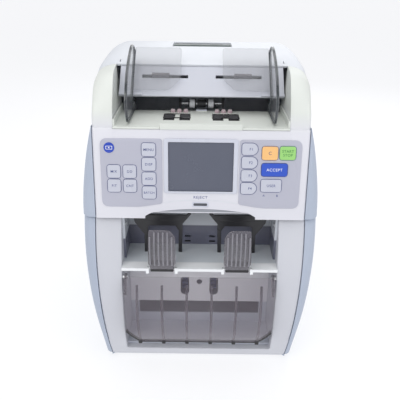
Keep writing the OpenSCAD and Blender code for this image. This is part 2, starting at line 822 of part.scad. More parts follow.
module hood() {
    color([0.90, 0.90, 0.93]) difference() {
        union() {
            difference() {
                intersection() {
                    along_y(front_y, crease_y - gap) up_outline(0);
                    along_x(-half_hood, half_hood) brow_profile(0);
                }
                intersection() {
                    along_y(front_y, crease_y + 5) up_outline(wall);
                    along_x(-half_hood, half_hood) brow_profile(wall);
                }
            }
            intersection() {
                along_y(front_y, crease_y - gap) up_outline(wall / 2);
                along_x(-half_hood, half_hood) brow_profile(wall / 2);
                both() block(half_hopper, half_hopper + 2.2, front_y, crease_y - gap,
                    hopper_z - 6, reach);
            }
        }
        block(-half_hopper, half_hopper, front_y, crease_y + 1, hopper_z - 2.6, reach);
        panel_arch();
        on_panel() block(-display_w / 2 - 2.5, display_w / 2 + 2.5, -5, 8, window_v0, window_v1);
        on_panel() block(-9, 9, -1, 5, 14.1, 18.3);
        for (k = KEYS) key_block(k, gap, -1, 8);
    }
}

module hood_side_right() {
    top = wing_z;
    up = seam_z + sqrt(cheek_top_r * cheek_top_r - pow(cheek_top_r - cheek_w - 1.3, 2));
    color([0.70, 0.73, 0.79]) {
        difference() {
            intersection() {
                along_y(front_y, rear_y)
                    bowed_outline(half_body, cheek_top_r, 0, up_bottom_z, up);
                along_x(half_hood + 0.2, half_body) brow_side(0.6);
            }
            intersection() {
                along_y(front_y, rear_y)
                    bowed_outline(half_body, cheek_top_r, wall, up_bottom_z - 20, up);
                along_x(half_hood + 0.1, half_body) brow_side(0.6 + wall);
            }
        }
        intersection() {
            along_y(front_y, rear_y)
                bowed_outline(half_body, cheek_top_r, wall / 2, up_bottom_z, up);
            for (y = [panel_y + 60, 20, rear_y - 50])
                block(half_hood + 0.2, half_body, y - 1, y + 1, up_bottom_z + 20, wing_z - 35);
        }
    }
}
module hood_side_left() mirror([1, 0, 0]) hood_side_right();

// Side view shared by the hood and the top cover, as the side covers need it
module brow_side(i) {
    z0 = up_bottom_z - (i > 1 ? 20 : 0);
    drop = (panel_z - z0) / lean_c;
    polygon([[panel_y + i * lean_c - drop * lean_s, panel_z - i * lean_s - drop * lean_c],
        [wing_y - (wing_r - i) * lean_c, wing_z + (wing_r - i) * lean_s],
        [rear_y - max(i - 0.6, 0), wing_z + 10], [rear_y - max(i - 0.6, 0), z0]]);
}

module top_cover() {
    front = crease_y + gap;
    color([0.88, 0.89, 0.91]) difference() {
        union() {
            difference() {
                intersection() {
                    along_y(front, rear_y) up_outline(0);
                    along_x(-half_hood, half_hood) crown_profile(0);
                }
                intersection() {
                    along_y(front - 5, rear_y) up_outline(wall);
                    along_x(-half_hood, half_hood) crown_profile(wall);
                }
            }
            intersection() {
                block(-well_half - 5, well_half + 5, well_y0 - 2.5, well_y1 + 2.5,
                    well_z - 2.5, reach);
                along_x(-half_hood, half_hood) crown_profile(wall / 2);
            }
        }
        block(-well_half, well_half, well_y0, well_y1, well_z, reach);
        rod(-well_half - 4, well_half + 4, handle_py, handle_pz, 2.5 + fit);
        both() block(half_hopper + 1, half_hopper + 2.5, crease_y + 7, crease_y + 15, brow_z - 20, reach);
    }
}

roller_x = [-41.2, -21, 21, 41.2];
roller_w = [12.5, 12, 12, 12.5];

module hopper_floor() {
    half = half_hopper - 0.2;
    y1 = lip_y + 15;
    front = panel_top_y - 1;
    color([0.86, 0.87, 0.89]) {
        difference() {
            union() {
                block(-half, half, front + 4, y1, hopper_z - 2.4, hopper_z);
                both() block(half - 2, half, front + 4, crease_y - 12, hopper_z - 2.4, hopper_z + 8);
            }
            for (k = [0:3])
                block(roller_x[k] - roller_w[k] / 2 - 0.8, roller_x[k] + roller_w[k] / 2 + 0.8,
                    pickup_y - 17, pickup_y + 17, hopper_z - 5, hopper_z + 1);
        }
        block(-49.6, 49.6, front, front + 4.5, hopper_z - 2.4, hopper_z + 4);
        block(-7.2, 7.2, y1 - 5, y1 + 1, hopper_z - 7, hopper_z + 0.8);
        both() for (x = [20.5, 29, 37.5])
            translate([x, y1 - 8, hopper_z - eps]) cylinder(r = 2.6, h = 4);
    }
}

module hopper_backplate() {
    half = half_hopper - 0.2;
    color([0.88, 0.89, 0.91]) {
        on_slope() difference() {
            union() {
                block(-half, half, 0, slope_len, -plate_t, 0);
                both() block(half - 30, half, 0, 4, 0, 2.5);
            }
            both() block(slot_in, slot_out, slot_s - slot_h / 2, slot_s + slot_h / 2, -5, 5);
        }
        on_slope() translate([0, slot_s, -16]) cylinder(r = 2, h = 16 - plate_t + eps);
        both() along_x(27, 30)
            polygon([[lip_y + 1, lip_z - 1], [lip_y + 7.2, lip_z + 4], [feed_y + 5, feed_z + 9],
                [feed_y + 5, feed_z - 5], [feed_y - 5, feed_z - 5], [feed_y - 5, feed_z + 3]]);
    }
}

module upper_frame() {
    z0 = up_bottom_z + 2;
    z1 = hopper_z - 8;
    front = panel_y + 30;
    color([0.62, 0.64, 0.66]) difference() {
        union() {
            both() along_x(arm_x - sheet, arm_x) {
                polygon([[front, z0], [hinge_y, z0], [hinge_y + 5, hinge_z], [hinge_y - 20, z1],
                    [front + 14, z1], [front, z1 - 20]]);
                translate([hinge_y, hinge_z]) circle(r = 6);
            }
            for (p = [[front + 6, z0 + 8], [front + 6, z1 - 24], [rear_y - 60, z0 + 8],
                [rear_y - 48, z1 - 14]])
                rod(-arm_x + sheet - eps, arm_x - sheet + eps, p[0], p[1], 4);
        }
        rod(-reach, reach, hinge_y, hinge_z, hinge_d / 2 + fit);
        rod(-reach, reach, pickup_y, pickup_z, shaft_d / 2 + fit);
    }
}

module display() {
    v1 = display_v0 + display_h;
    half = display_w / 2 + 1.8;
    color([0.33, 0.36, 0.43]) on_panel() {
        block(-half, half, 0.3, 3.5, window_v0 + 0.2, window_v1 - 0.2);
        block(-half - 6, half + 6, 3.5, 8, window_v0 - 5, v1 + 6);
    }
}

module display_bezel() {
    v1 = display_v0 + display_h;
    color([0.80, 0.81, 0.86]) on_panel() difference() {
        block(-display_w / 2 - 5.3, display_w / 2 + 5.3, -1.8, 0, 31, v1 + 4.2);
        block(-display_w / 2, display_w / 2, -5, 5, display_v0, v1);
    }
}

module reject_lamp() {
    color([0.25, 0.27, 0.33]) on_panel() {
        block(-8.8, 8.8, 0, wall, 14.3, 18.1);
        block(-12, 12, wall, wall + 2, 12, 20);
    }
}

module overlay(side, keys) {
    outline = [[overlay_in, 17], [planned(75), 12.4], [overlay_out, 12.4], [overlay_out, 99],
        [overlay_in, 99]];
    color([0.74, 0.75, 0.81]) difference() {
        on_panel() along_y(-overlay_t, 0) polygon([for (p = outline) [side * p[0], p[1]]]);
        for (k = keys) key_block(k, gap, -5, 5);
    }
}

module keypad_left() {
    overlay(-1,
        [for (k = [0:7]) KEYS[k]]);
    color([0.10, 0.20, 0.62]) on_panel() translate([planned(-111.75), -overlay_t + eps, 87.6])
        rotate([90, 0, 0]) cylinder(r = 6.5, h = 0.6);
}

module keypad_right() {
    overlay(1,
        [for (k = [8:15]) KEYS[k]]);
}

// ---- upper unit, moving ----

// Bail that lies in the well of the top cover
module carry_handle() {
    half = handle_w / 2;
    color([0.42, 0.47, 0.45]) {
        along_x(-half, half) polygon([[bar_y, crown_z - 7], [bar_y + 2, crown_z + 0.6],
            [bar_y + bar_d - 1, crown_z + 0.6], [bar_y + bar_d, crown_z - 2],
            [bar_y + bar_d - 2, crown_z - 10], [bar_y + 3, crown_z - 10]]);
        both() {
            along_x(half - 5, half) {
                polygon([[bar_y + 4, crown_z - 10], [bar_y + 4, crown_z - 1],
                    [handle_py, handle_pz + 5], [handle_py, handle_pz - 5]]);
                translate([handle_py, handle_pz]) circle(r = 5.5);
            }
            rod(half - 1, well_half + 3.5, handle_py, handle_pz, 2.5);
        }
    }
}

// Side plate, wing, clip through the slot and rack; up = 1 puts the rack above the pinion
module note_guide(up) {
    t = guide_t / 2;
    g = guide_low_z;
    wing_n = 5;
    rack_n = -8;
    rack_s = slot_s + up * pinion_r;
    tooth = PI * pinion_r / 8;
    color([0.42, 0.36, 0.42, 0.55]) {
        along_x(guide_x - t, guide_x + t)
            polygon([[lip_y - 50, g], [lip_y + 13, g], [lip_y + 13, g + 11],
                [lip_y - 3, g + 15], [lip_y - 7, g + 20], [lip_y - 5, lip_z + 2],
                [lip_y + 42, lip_z + 49], [lip_y + 35, g + 76],
                [lip_y + 23, g + 82], [lip_y + 9, g + 81], [lip_y - 17, g + 72],
                [lip_y - 44, g + 56], [lip_y - 60, g + 36], [lip_y - 64, g + 26],
                [lip_y - 58, g + 9], [lip_y - 54, g + 2]]);
        on_slope() {
            translate([0, 0, wing_n]) linear_extrude(guide_t)
                polygon([[guide_x - t + eps, 5], [guide_x - t + eps, 69], [27, 69], [27, 22], [42.5, 5]]);
            block(clip_in, clip_out, slot_s - 2, slot_s + 2, rack_n, wing_n + 0.5);
            block(clip_in, clip_out, min(slot_s - 2, slot_s + up * 10),
                max(slot_s + 2, slot_s + up * 10), rack_n - 4, rack_n + eps);
            translate([0, 0, rack_n - 4]) difference() {
                linear_extrude(4) polygon([[-30, rack_s - up * 0.7], [clip_out, rack_s - up * 0.7],
                    [clip_out, rack_s + up * 5.5], [-30, rack_s + up * 5.5]]);
                for (k = [-10:15]) translate([k * tooth - tooth / 2 + 0.45,
                    min(rack_s - up * 0.8, rack_s + up * 1.2), -1])
                    cube([tooth - 0.9, 2, 6]);
            }
        }
    }
}

module hopper_guide_right() note_guide(-1);
module hopper_guide_left() mirror([1, 0, 0]) note_guide(1);

module guide_pinion() {
    color([0.85, 0.84, 0.78]) on_slope() translate([0, slot_s, -12]) difference() {
        union() {
            cylinder(r = pinion_r - 1.2, h = 4);
            for (k = [0:15]) rotate(k * 22.5 + 90) translate([pinion_r - 2, -0.45, 0])
                cube([2.7, 0.9, 4]);
        }
        translate([0, 0, -1]) cylinder(r = 2 + fit, h = 6);
    }
}

module pickup_rollers() {
    color([0.10, 0.10, 0.11]) {
        rod(-arm_x - 1, arm_x + 1, pickup_y, pickup_z, shaft_d / 2);
        for (k = [0:3])
            rod(roller_x[k] - roller_w[k] / 2, roller_x[k] + roller_w[k] / 2,
                pickup_y, pickup_z, pickup_r);
    }
}

module feed_rollers() {
    color([0.80, 0.80, 0.82]) {
        rod(-26.8, 26.8, feed_y, feed_z, 2.5);
        both() rod(8, 17, feed_y, feed_z, feed_r);
        rod(-5, 5, feed_y, feed_z, feed_r - 2);
    }
}

// A cap through the overlay and the hood, with a flange behind the hood
module key(k) {
    lilac = [0.86, 0.87, 0.92];
    shade = k[0] == "clear_key" ? [0.95, 0.60, 0.25] : k[0] == "start_stop_key" ? [0.30, 0.75, 0.40]
        : k[0] == "accept_key" ? [0.18, 0.35, 0.78] : lilac;
    color(shade) {
        key_block(k, 0, -overlay_t - key_proud, wall + 0.1);
        key_block(k, 2 * gap, wall + 0.1, wall + 1.1);
    }
}

module menu_key() key(KEYS[0]);
module disp_key() key(KEYS[1]);
module add_key() key(KEYS[2]);
module batch_key() key(KEYS[3]);
module mix_key() key(KEYS[4]);
module dd_key() key(KEYS[5]);
module fit_key() key(KEYS[6]);
module count_key() key(KEYS[7]);
module f1_key() key(KEYS[8]);
module f2_key() key(KEYS[9]);
module f3_key() key(KEYS[10]);
module f4_key() key(KEYS[11]);
module clear_key() key(KEYS[12]);
module start_stop_key() key(KEYS[13]);
module accept_key() key(KEYS[14]);
module user_key() key(KEYS[15]);

chassis();
rubber_feet();
front_frame();
side_cover_left();
side_cover_right();
rear_cover();
stacker_tray();
reject_tray();
reject_backplate();
reject_guides();
power_supply();
main_board();
drive_motor();
drive_belt();
rear_sockets();
case_screws();
hinge_pins();
power_switch();
stacker_cover();
reject_stopper_left();
reject_stopper_right();
stacker_shaft();
stacker_vanes();
reject_shaft();
motor_pulley();
diverter_gate();
hood();
hood_side_left();
hood_side_right();
top_cover();
hopper_floor();
hopper_backplate();
upper_frame();
display();
display_bezel();
reject_lamp();
keypad_left();
keypad_right();
carry_handle();
hopper_guide_left();
hopper_guide_right();
guide_pinion();
pickup_rollers();
feed_rollers();
menu_key();
disp_key();
add_key();
batch_key();
mix_key();
dd_key();
fit_key();
count_key();
f1_key();
f2_key();
f3_key();
f4_key();
clear_key();
start_stop_key();
accept_key();
user_key();
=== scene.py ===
import json
import math

import bmesh
import bpy
from mathutils import Matrix, Vector


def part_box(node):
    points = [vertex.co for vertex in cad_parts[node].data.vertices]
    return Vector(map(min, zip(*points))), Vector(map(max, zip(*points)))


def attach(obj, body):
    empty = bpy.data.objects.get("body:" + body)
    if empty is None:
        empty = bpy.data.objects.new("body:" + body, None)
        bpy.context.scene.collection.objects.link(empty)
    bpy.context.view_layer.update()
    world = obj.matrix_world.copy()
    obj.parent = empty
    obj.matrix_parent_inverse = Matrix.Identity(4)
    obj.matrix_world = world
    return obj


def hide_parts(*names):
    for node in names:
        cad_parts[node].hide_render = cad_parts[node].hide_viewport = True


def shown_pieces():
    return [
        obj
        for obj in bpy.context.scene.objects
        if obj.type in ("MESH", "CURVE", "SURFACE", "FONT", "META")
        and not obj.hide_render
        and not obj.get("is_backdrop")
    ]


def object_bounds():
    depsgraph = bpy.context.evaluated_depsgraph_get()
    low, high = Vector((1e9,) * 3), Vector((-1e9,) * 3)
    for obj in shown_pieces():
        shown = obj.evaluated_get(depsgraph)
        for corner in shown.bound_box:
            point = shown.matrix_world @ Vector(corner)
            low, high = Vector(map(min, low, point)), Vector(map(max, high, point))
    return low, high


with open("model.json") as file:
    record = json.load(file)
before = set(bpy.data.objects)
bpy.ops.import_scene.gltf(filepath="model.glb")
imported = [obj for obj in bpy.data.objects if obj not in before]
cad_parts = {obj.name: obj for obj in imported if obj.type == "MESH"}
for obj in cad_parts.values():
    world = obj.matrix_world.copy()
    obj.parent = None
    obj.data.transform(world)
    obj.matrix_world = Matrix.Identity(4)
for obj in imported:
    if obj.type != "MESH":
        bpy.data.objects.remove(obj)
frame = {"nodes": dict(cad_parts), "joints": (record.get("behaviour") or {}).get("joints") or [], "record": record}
cadLow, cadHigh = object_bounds()
nodes = frame["nodes"]
jointsByName = {joint["name"]: joint for joint in frame["joints"]}
bodyOfNode = {node: body
              for body, names in frame["record"]["behaviour"]["bodies"].items() for node in names}
mm = 0.001
scene = bpy.context.scene
scene.view_settings.view_transform = "Standard"
print("frame loaded:", len(nodes), "nodes")

# camera, lights and world

cameraSet = {
    "place": (0.0, -0.731, 0.519),
    "pitch": 25.0,       # degrees below the horizon
    "roll": 0.72,
    "lens": 46.8,
    "shift": -0.0009,
}
cameraData = bpy.data.cameras.new("camera")
cameraData.lens = cameraSet["lens"]
cameraData.shift_x = cameraSet["shift"]
camera = bpy.data.objects.new("camera", cameraData)
scene.collection.objects.link(camera)
camera.matrix_world = (
    Matrix.Translation(cameraSet["place"])
    @ Matrix.Rotation(math.radians(90 - cameraSet["pitch"]), 4, "X")
    @ Matrix.Rotation(math.radians(cameraSet["roll"]), 4, "Z")
)
scene.camera = camera

lightSet = {
    # name: place, size, watts, colour
    "keySoftbox": ((-0.75, -1.1, 1.25), 1.1, 8.0, (1.0, 0.99, 0.98)),
    "fillSoftbox": ((1.0, -0.9, 0.85), 1.2, 4.5, (0.97, 0.985, 1.0)),
    "topSoftbox": ((0.0, 0.15, 1.5), 1.4, 7.0, (1.0, 1.0, 1.0)),
    "backSoftbox": ((0.3, 1.3, 0.9), 1.1, 3.5, (0.98, 0.99, 1.0)),
}
for lightName, (place, size, watts, colour) in lightSet.items():
    lamp = bpy.data.lights.new(lightName, "AREA")
    lamp.size = size
    lamp.energy = watts
    lamp.color = colour
    lampObject = bpy.data.objects.new(lightName, lamp)
    scene.collection.objects.link(lampObject)
    lampObject.location = place
    aim = Vector((0, 0, 0.2)) - Vector(place)
    lampObject.rotation_euler = aim.to_track_quat("-Z", "Y").to_euler()

world = bpy.data.worlds.new("studio")
scene.world = world
world.use_nodes = True
world.node_tree.nodes["Background"].inputs["Color"].default_value = (0.96, 0.97, 1.0, 1)
backdrop = world.node_tree.nodes["Background"]
seen = world.node_tree.nodes.new("ShaderNodeLightPath").outputs["Is Camera Ray"]
strength = world.node_tree.nodes.new("ShaderNodeMapRange")
strength.inputs["To Min"].default_value = 0.6
strength.inputs["To Max"].default_value = 1.0
world.node_tree.links.new(seen, strength.inputs["Value"])
world.node_tree.links.new(strength.outputs["Result"], backdrop.inputs["Strength"])
print("camera and lights made")

# node helpers and shared shader groups


def addNode(tree, kind, values=None, **props):
    node = tree.nodes.new(kind)
    for prop, value in props.items():
        setattr(node, prop, value)
    for socket, value in (values or {}).items():
        if isinstance(value, bpy.types.NodeSocket):
            tree.links.new(value, node.inputs[socket])
        else:
            node.inputs[socket].default_value = value
    return node


def newGroup(name, inputs, outputs):
    group = bpy.data.node_groups.new(name, "ShaderNodeTree")
    for label, value in inputs.items():
        socket = group.interface.new_socket(name=label, in_out="INPUT", socket_type="NodeSocketFloat")
        socket.default_value = value
    for label in outputs:
        group.interface.new_socket(name=label, in_out="OUTPUT", socket_type="NodeSocketFloat")
    return group, group.nodes.new("NodeGroupInput"), group.nodes.new("NodeGroupOutput")


def noiseAt(tree, vector, scale, detail=2.0, rough=0.5):
    return addNode(tree, "ShaderNodeTexNoise",
                   {"Vector": vector, "Scale": scale, "Detail": detail,
                    "Roughness": rough}).outputs["Fac"]


def maths(tree, operation, a, b=0.0, clamp=False):
    return addNode(tree, "ShaderNodeMath", {0: a, 1: b}, operation=operation, use_clamp=clamp).outputs[0]


def mapRange(tree, value, fromLow, fromHigh, toLow, toHigh):
    return addNode(tree, "ShaderNodeMapRange", {
        "Value": value, "From Min": fromLow, "From Max": fromHigh, "To Min": toLow, "To Max": toHigh,
    }).outputs["Result"]


def mixColour(tree, factor, a, b):
    node = tree.nodes.new("ShaderNodeMix")
    node.data_type = "RGBA"
    for index, value in ((0, factor), (6, a), (7, b)):
        if isinstance(value, bpy.types.NodeSocket):
            tree.links.new(value, node.inputs[index])
        else:
            node.inputs[index].default_value = value if index == 0 else (*value[:3], 1)
    return node.outputs[2]


def makeMouldedSkin():
    # fine mould texture, broad mottling and handling marks
    group, entry, leave = newGroup("mouldedSkin", {"Grain Scale": 1500.0, "Mottle Scale": 9.0},
                                   ["Height", "Mottle", "Rub"])
    place = addNode(group, "ShaderNodeTexCoord").outputs["Object"]
    fine = noiseAt(group, place, entry.outputs["Grain Scale"], 3.0, 0.6)
    broad = noiseAt(group, place, entry.outputs["Mottle Scale"], 3.0, 0.55)
    rub = noiseAt(group, place, maths(group, "MULTIPLY", entry.outputs["Mottle Scale"], 4.3), 4.0, 0.6)
    group.links.new(fine, leave.inputs["Height"])
    group.links.new(mapRange(group, broad, 0.3, 0.7, 0.0, 1.0), leave.inputs["Mottle"])
    group.links.new(mapRange(group, rub, 0.3, 0.72, 0.0, 1.0), leave.inputs["Rub"])
    return group


def makeEdgeWear():
    # 1 where the surface turns sharply, broken up by noise
    group, entry, leave = newGroup("edgeWear", {"Width": 0.0012, "Amount": 1.0, "Patch Scale": 120.0},
                                   ["Mask"])
    rounded = addNode(group, "ShaderNodeBevel", {"Radius": entry.outputs["Width"]}, samples=4).outputs[0]
    true = addNode(group, "ShaderNodeNewGeometry").outputs["Normal"]
    dot = addNode(group, "ShaderNodeVectorMath", {0: rounded, 1: true},
                  operation="DOT_PRODUCT").outputs["Value"]
    turn = mapRange(group, dot, 0.995, 0.80, 0.0, 1.0)
    place = addNode(group, "ShaderNodeTexCoord").outputs["Object"]
    patches = mapRange(group, noiseAt(group, place, entry.outputs["Patch Scale"], 4.0, 0.65), 0.42, 0.62,
                       0.0, 1.0)
    mask = maths(group, "MULTIPLY", maths(group, "MULTIPLY", turn, patches), entry.outputs["Amount"],
                 True)
    group.links.new(mask, leave.inputs["Mask"])
    return group


def makeDustFilm():
    # thin dust on faces that look up
    group, entry, leave = newGroup("dustFilm", {"Amount": 0.2, "Scale": 60.0}, ["Mask"])
    normal = addNode(group, "ShaderNodeNewGeometry").outputs["Normal"]
    upward = addNode(group, "ShaderNodeSeparateXYZ", {0: normal}).outputs["Z"]
    facing = mapRange(group, upward, 0.35, 0.98, 0.0, 1.0)
    place = addNode(group, "ShaderNodeTexCoord").outputs["Object"]
    patches = mapRange(group, noiseAt(group, place, entry.outputs["Scale"], 5.0, 0.7), 0.35, 0.75, 0.25,
                       1.0)
    mask = maths(group, "MULTIPLY", maths(group, "MULTIPLY", facing, patches), entry.outputs["Amount"],
                 True)
    group.links.new(mask, leave.inputs["Mask"])
    return group


def makeStripes():
    # even raised bands across one axis, such as knurling, ribbed rubber or brushed lines
    group, entry, leave = newGroup("stripes", {"Coordinate": 0.0, "Pitch": 0.002, "Sharpness": 2.0},
                                   ["Band"])
    turns = maths(group, "DIVIDE", entry.outputs["Coordinate"], entry.outputs["Pitch"])
    wave = maths(group, "SINE", maths(group, "MULTIPLY", turns, 2 * math.pi))
    band = maths(group, "MULTIPLY_ADD", wave, entry.outputs["Sharpness"], True)
    group.nodes[-1].inputs[2].default_value = 0.5
    group.links.new(band, leave.inputs["Band"])
    return group


mouldedSkin = makeMouldedSkin()
edgeWear = makeEdgeWear()
dustFilm = makeDustFilm()
stripes = makeStripes()


def useGroup(tree, group, values=None):
    node = tree.nodes.new("ShaderNodeGroup")
    node.node_tree = group
    for socket, value in (values or {}).items():
        if isinstance(value, bpy.types.NodeSocket):
            tree.links.new(value, node.inputs[socket])
        else:
            node.inputs[socket].default_value = value
    return node


def newMaterial(name):
    material = bpy.data.materials.new(name)
    material.use_nodes = True
    tree = material.node_tree
    shader = tree.nodes["Principled BSDF"]
    return material, tree, shader


def bumpFrom(tree, shader, height, strength, distance):
    bump = addNode(tree, "ShaderNodeBump", {"Height": height, "Strength": strength, "Distance": distance})
    tree.links.new(bump.outputs["Normal"], shader.inputs["Normal"])


# materials


def plastic(name, look):
    material, tree, shader = newMaterial(name)
    skin = useGroup(tree, mouldedSkin, {"Grain Scale": look.get("grainScale", 1500.0)})
    wear = useGroup(tree, edgeWear, {"Amount": look.get("wear", 0.3)})
    dust = useGroup(tree, dustFilm, {"Amount": look.get("dust", 0.12)})
    colour = mixColour(tree, skin.outputs["Mottle"], look["colour"], look["shade"])
    # a second colour beyond a given height along one axis; on the reject tray's front lip it is a painted
    # highlight, and on the stacker's white plate it is partly painted light
    if "upper" in look:
        place = addNode(tree, "ShaderNodeTexCoord").outputs["Object"]
        height = addNode(tree, "ShaderNodeSeparateXYZ", {0: place}).outputs[look.get("along", "Z")]
        low, high = look["upperFrom"]
        colour = mixColour(tree, mapRange(tree, height, low, high, 0, 1), colour, look["upper"])
    colour = mixColour(tree, wear.outputs["Mask"], colour, look.get("worn", look["colour"]))
    colour = mixColour(tree, dust.outputs["Mask"], colour, (0.62, 0.61, 0.59))
    tree.links.new(colour, shader.inputs["Base Color"])
    rough = look["rough"]
    spread = look.get("spread", 0.06)
    tree.links.new(mapRange(tree, skin.outputs["Rub"], 0, 1, rough - spread, rough + spread),
                   shader.inputs["Roughness"])
    shader.inputs["Coat Weight"].default_value = look.get("coat", 0.0)
    shader.inputs["Coat Roughness"].default_value = 0.2
    bumpFrom(tree, shader, skin.outputs["Height"], look.get("grain", 0.25), 0.00012)
    return material


plasticLooks = {
    "whiteCase": dict(colour=(0.715, 0.715, 0.765), shade=(0.685, 0.685, 0.74), rough=0.42, wear=0.25,
                      worn=(0.84, 0.84, 0.87), dust=0.05, upper=(0.70, 0.725, 0.685),
                      upperFrom=(0.328, 0.352)),
    "greyCase": dict(colour=(0.43, 0.48, 0.575), shade=(0.40, 0.45, 0.55), rough=0.45, grain=0.4,
                     worn=(0.62, 0.66, 0.72), dust=0.08),
    "topWhite": dict(colour=(0.70, 0.72, 0.76), shade=(0.665, 0.69, 0.735), rough=0.42, dust=0.08,
                     worn=(0.84, 0.84, 0.86)),
    "hopperWhite": dict(colour=(0.70, 0.725, 0.68), shade=(0.66, 0.69, 0.645), rough=0.38, grain=0.15,
                        dust=0.08, worn=(0.84, 0.86, 0.82)),
    "plateGrey": dict(colour=(0.56, 0.575, 0.63), shade=(0.52, 0.535, 0.60), rough=0.36, grain=0.15,
                      dust=0.06, worn=(0.75, 0.76, 0.8)),
    # reject tray: the front strip along Y is painted lighter, a painted highlight where the lip catches the light
    "paleTray": dict(colour=(0.66, 0.70, 0.74), shade=(0.60, 0.65, 0.70), rough=0.33, grain=0.12,
                     worn=(0.8, 0.82, 0.86), dust=0.15, along="Y", upper=(0.84, 0.86, 0.88),
                     upperFrom=(-0.1435, -0.145)),
    "frameWhite": dict(colour=(0.60, 0.61, 0.655), shade=(0.57, 0.58, 0.63), rough=0.42, wear=0.25,
                       worn=(0.75, 0.75, 0.79), dust=0.08),
    # stacker tray: the white upper plate above 58 mm is painted lighter than the case white, painted light for the
    # dim pocket behind the smoked door
    "stackerBlue": dict(colour=(0.64, 0.66, 0.73), shade=(0.58, 0.61, 0.69), rough=0.35, grain=0.12,
                        worn=(0.62, 0.65, 0.72), dust=0.2, upper=(0.86, 0.84, 0.88),
                        upperFrom=(0.0575, 0.0585)),
    "archGrey": dict(colour=(0.33, 0.345, 0.38), shade=(0.29, 0.305, 0.34), rough=0.4, grain=0.15),
    "pocketGrey": dict(colour=(0.16, 0.165, 0.22), shade=(0.13, 0.135, 0.19), rough=0.32, grain=0.12,
                       worn=(0.5, 0.52, 0.58), dust=0.1, upper=(0.66, 0.69, 0.74),
                       upperFrom=(0.183, 0.1845)),
    "blackPlastic": dict(colour=(0.018, 0.018, 0.022), shade=(0.03, 0.03, 0.034), rough=0.33, grain=0.3,
                         worn=(0.12, 0.12, 0.13), dust=0.1, wear=0.5),
    "boardGreen": dict(colour=(0.02, 0.14, 0.06), shade=(0.03, 0.18, 0.08), rough=0.25, coat=0.4),
    "bezelGrey": dict(colour=(0.60, 0.62, 0.70), shade=(0.57, 0.59, 0.67), rough=0.3, grain=0.12,
                      worn=(0.8, 0.8, 0.84)),
    "overlayGrey": dict(colour=(0.47, 0.475, 0.555), shade=(0.445, 0.45, 0.53), rough=0.36, grain=0.2,
                        grainScale=2600.0, worn=(0.6, 0.6, 0.66), dust=0.05),
    "handleGrey": dict(colour=(0.13, 0.16, 0.155), shade=(0.10, 0.13, 0.125), rough=0.45, grain=0.4,
                       worn=(0.3, 0.33, 0.32), dust=0.15),
    "keyPale": dict(colour=(0.545, 0.56, 0.64), shade=(0.52, 0.535, 0.615), rough=0.3, grain=0.15,
                    wear=0.5, worn=(0.74, 0.75, 0.82)),
    "keyOrange": dict(colour=(0.90, 0.54, 0.22), shade=(0.86, 0.49, 0.19), rough=0.32, grain=0.15,
                      worn=(0.95, 0.62, 0.3)),
    "keyGreen": dict(colour=(0.34, 0.66, 0.20), shade=(0.30, 0.61, 0.17), rough=0.32, grain=0.15,
                     worn=(0.3, 0.7, 0.35)),
    "keyBlue": dict(colour=(0.03, 0.095, 0.56), shade=(0.025, 0.08, 0.50), rough=0.32, grain=0.15,
                    worn=(0.2, 0.32, 0.7)),
    "keyRim": dict(colour=(0.055, 0.075, 0.20), shade=(0.07, 0.09, 0.23), rough=0.4, grain=0.1),
    "markBlue": dict(colour=(0.02, 0.04, 0.18), shade=(0.03, 0.05, 0.22), rough=0.45, grain=0.1),
    "markGreen": dict(colour=(0.015, 0.15, 0.03), shade=(0.02, 0.18, 0.04), rough=0.45, grain=0.1),
    "markWhite": dict(colour=(0.85, 0.86, 0.9), shade=(0.8, 0.81, 0.86), rough=0.45, grain=0.1),
    "badgeBlue": dict(colour=(0.02, 0.06, 0.42), shade=(0.025, 0.07, 0.48), rough=0.25, grain=0.1,
                      coat=0.3),
    "lampDark": dict(colour=(0.05, 0.055, 0.07), shade=(0.06, 0.065, 0.08), rough=0.15, grain=0.05,
                     coat=0.5),
    "trimBlack": dict(colour=(0.02, 0.02, 0.023), shade=(0.03, 0.03, 0.033), rough=0.55, grain=0.5),
    "pinionWhite": dict(colour=(0.72, 0.70, 0.62), shade=(0.66, 0.64, 0.56), rough=0.4),
    "wheelWhite": dict(colour=(0.70, 0.71, 0.74), shade=(0.62, 0.63, 0.66), rough=0.3, grain=0.1),
    "bumpRose": dict(colour=(0.52, 0.40, 0.43), shade=(0.46, 0.35, 0.38), rough=0.55, grain=0.4),
    "floorWhite": dict(colour=(0.32, 0.32, 0.325), shade=(0.31, 0.312, 0.318), rough=0.6, grain=0.1,
                       wear=0.0, dust=0.0),
}
finish = {name: plastic(name, look) for name, look in plasticLooks.items()}
floorShader = finish["floorWhite"].node_tree.nodes["Principled BSDF"]
floorShader.inputs["Emission Color"].default_value = (0.98, 0.985, 1.0, 1)
floorShader.inputs["Emission Strength"].default_value = 0.70


def smokedPlastic(name, look):
    # tinted clear plastic: more opaque where it is seen along its skin
    material, tree, shader = newMaterial(name)
    skin = useGroup(tree, mouldedSkin, {"Grain Scale": 500.0, "Mottle Scale": 22.0})
    dust = useGroup(tree, dustFilm, {"Amount": look["dust"]})
    colour = mixColour(tree, skin.outputs["Mottle"], look["colour"], look["shade"])
    colour = mixColour(tree, dust.outputs["Mask"], colour, (0.55, 0.54, 0.54))
    tree.links.new(colour, shader.inputs["Base Color"])
    facing = addNode(tree, "ShaderNodeLayerWeight", {"Blend": 0.35}).outputs["Facing"]
    tree.links.new(mapRange(tree, facing, 0, 1, look["alpha"], look["edgeAlpha"]), shader.inputs["Alpha"])
    tree.links.new(mapRange(tree, skin.outputs["Rub"], 0, 1, look["rough"], look["rough"] + 0.12),
                   shader.inputs["Roughness"])
    shader.inputs["Coat Weight"].default_value = 0.6
    shader.inputs["Coat Roughness"].default_value = 0.06
    shader.inputs["Specular IOR Level"].default_value = 0.8
    bumpFrom(tree, shader, skin.outputs["Mottle"], 0.12, 0.0003)
    return material


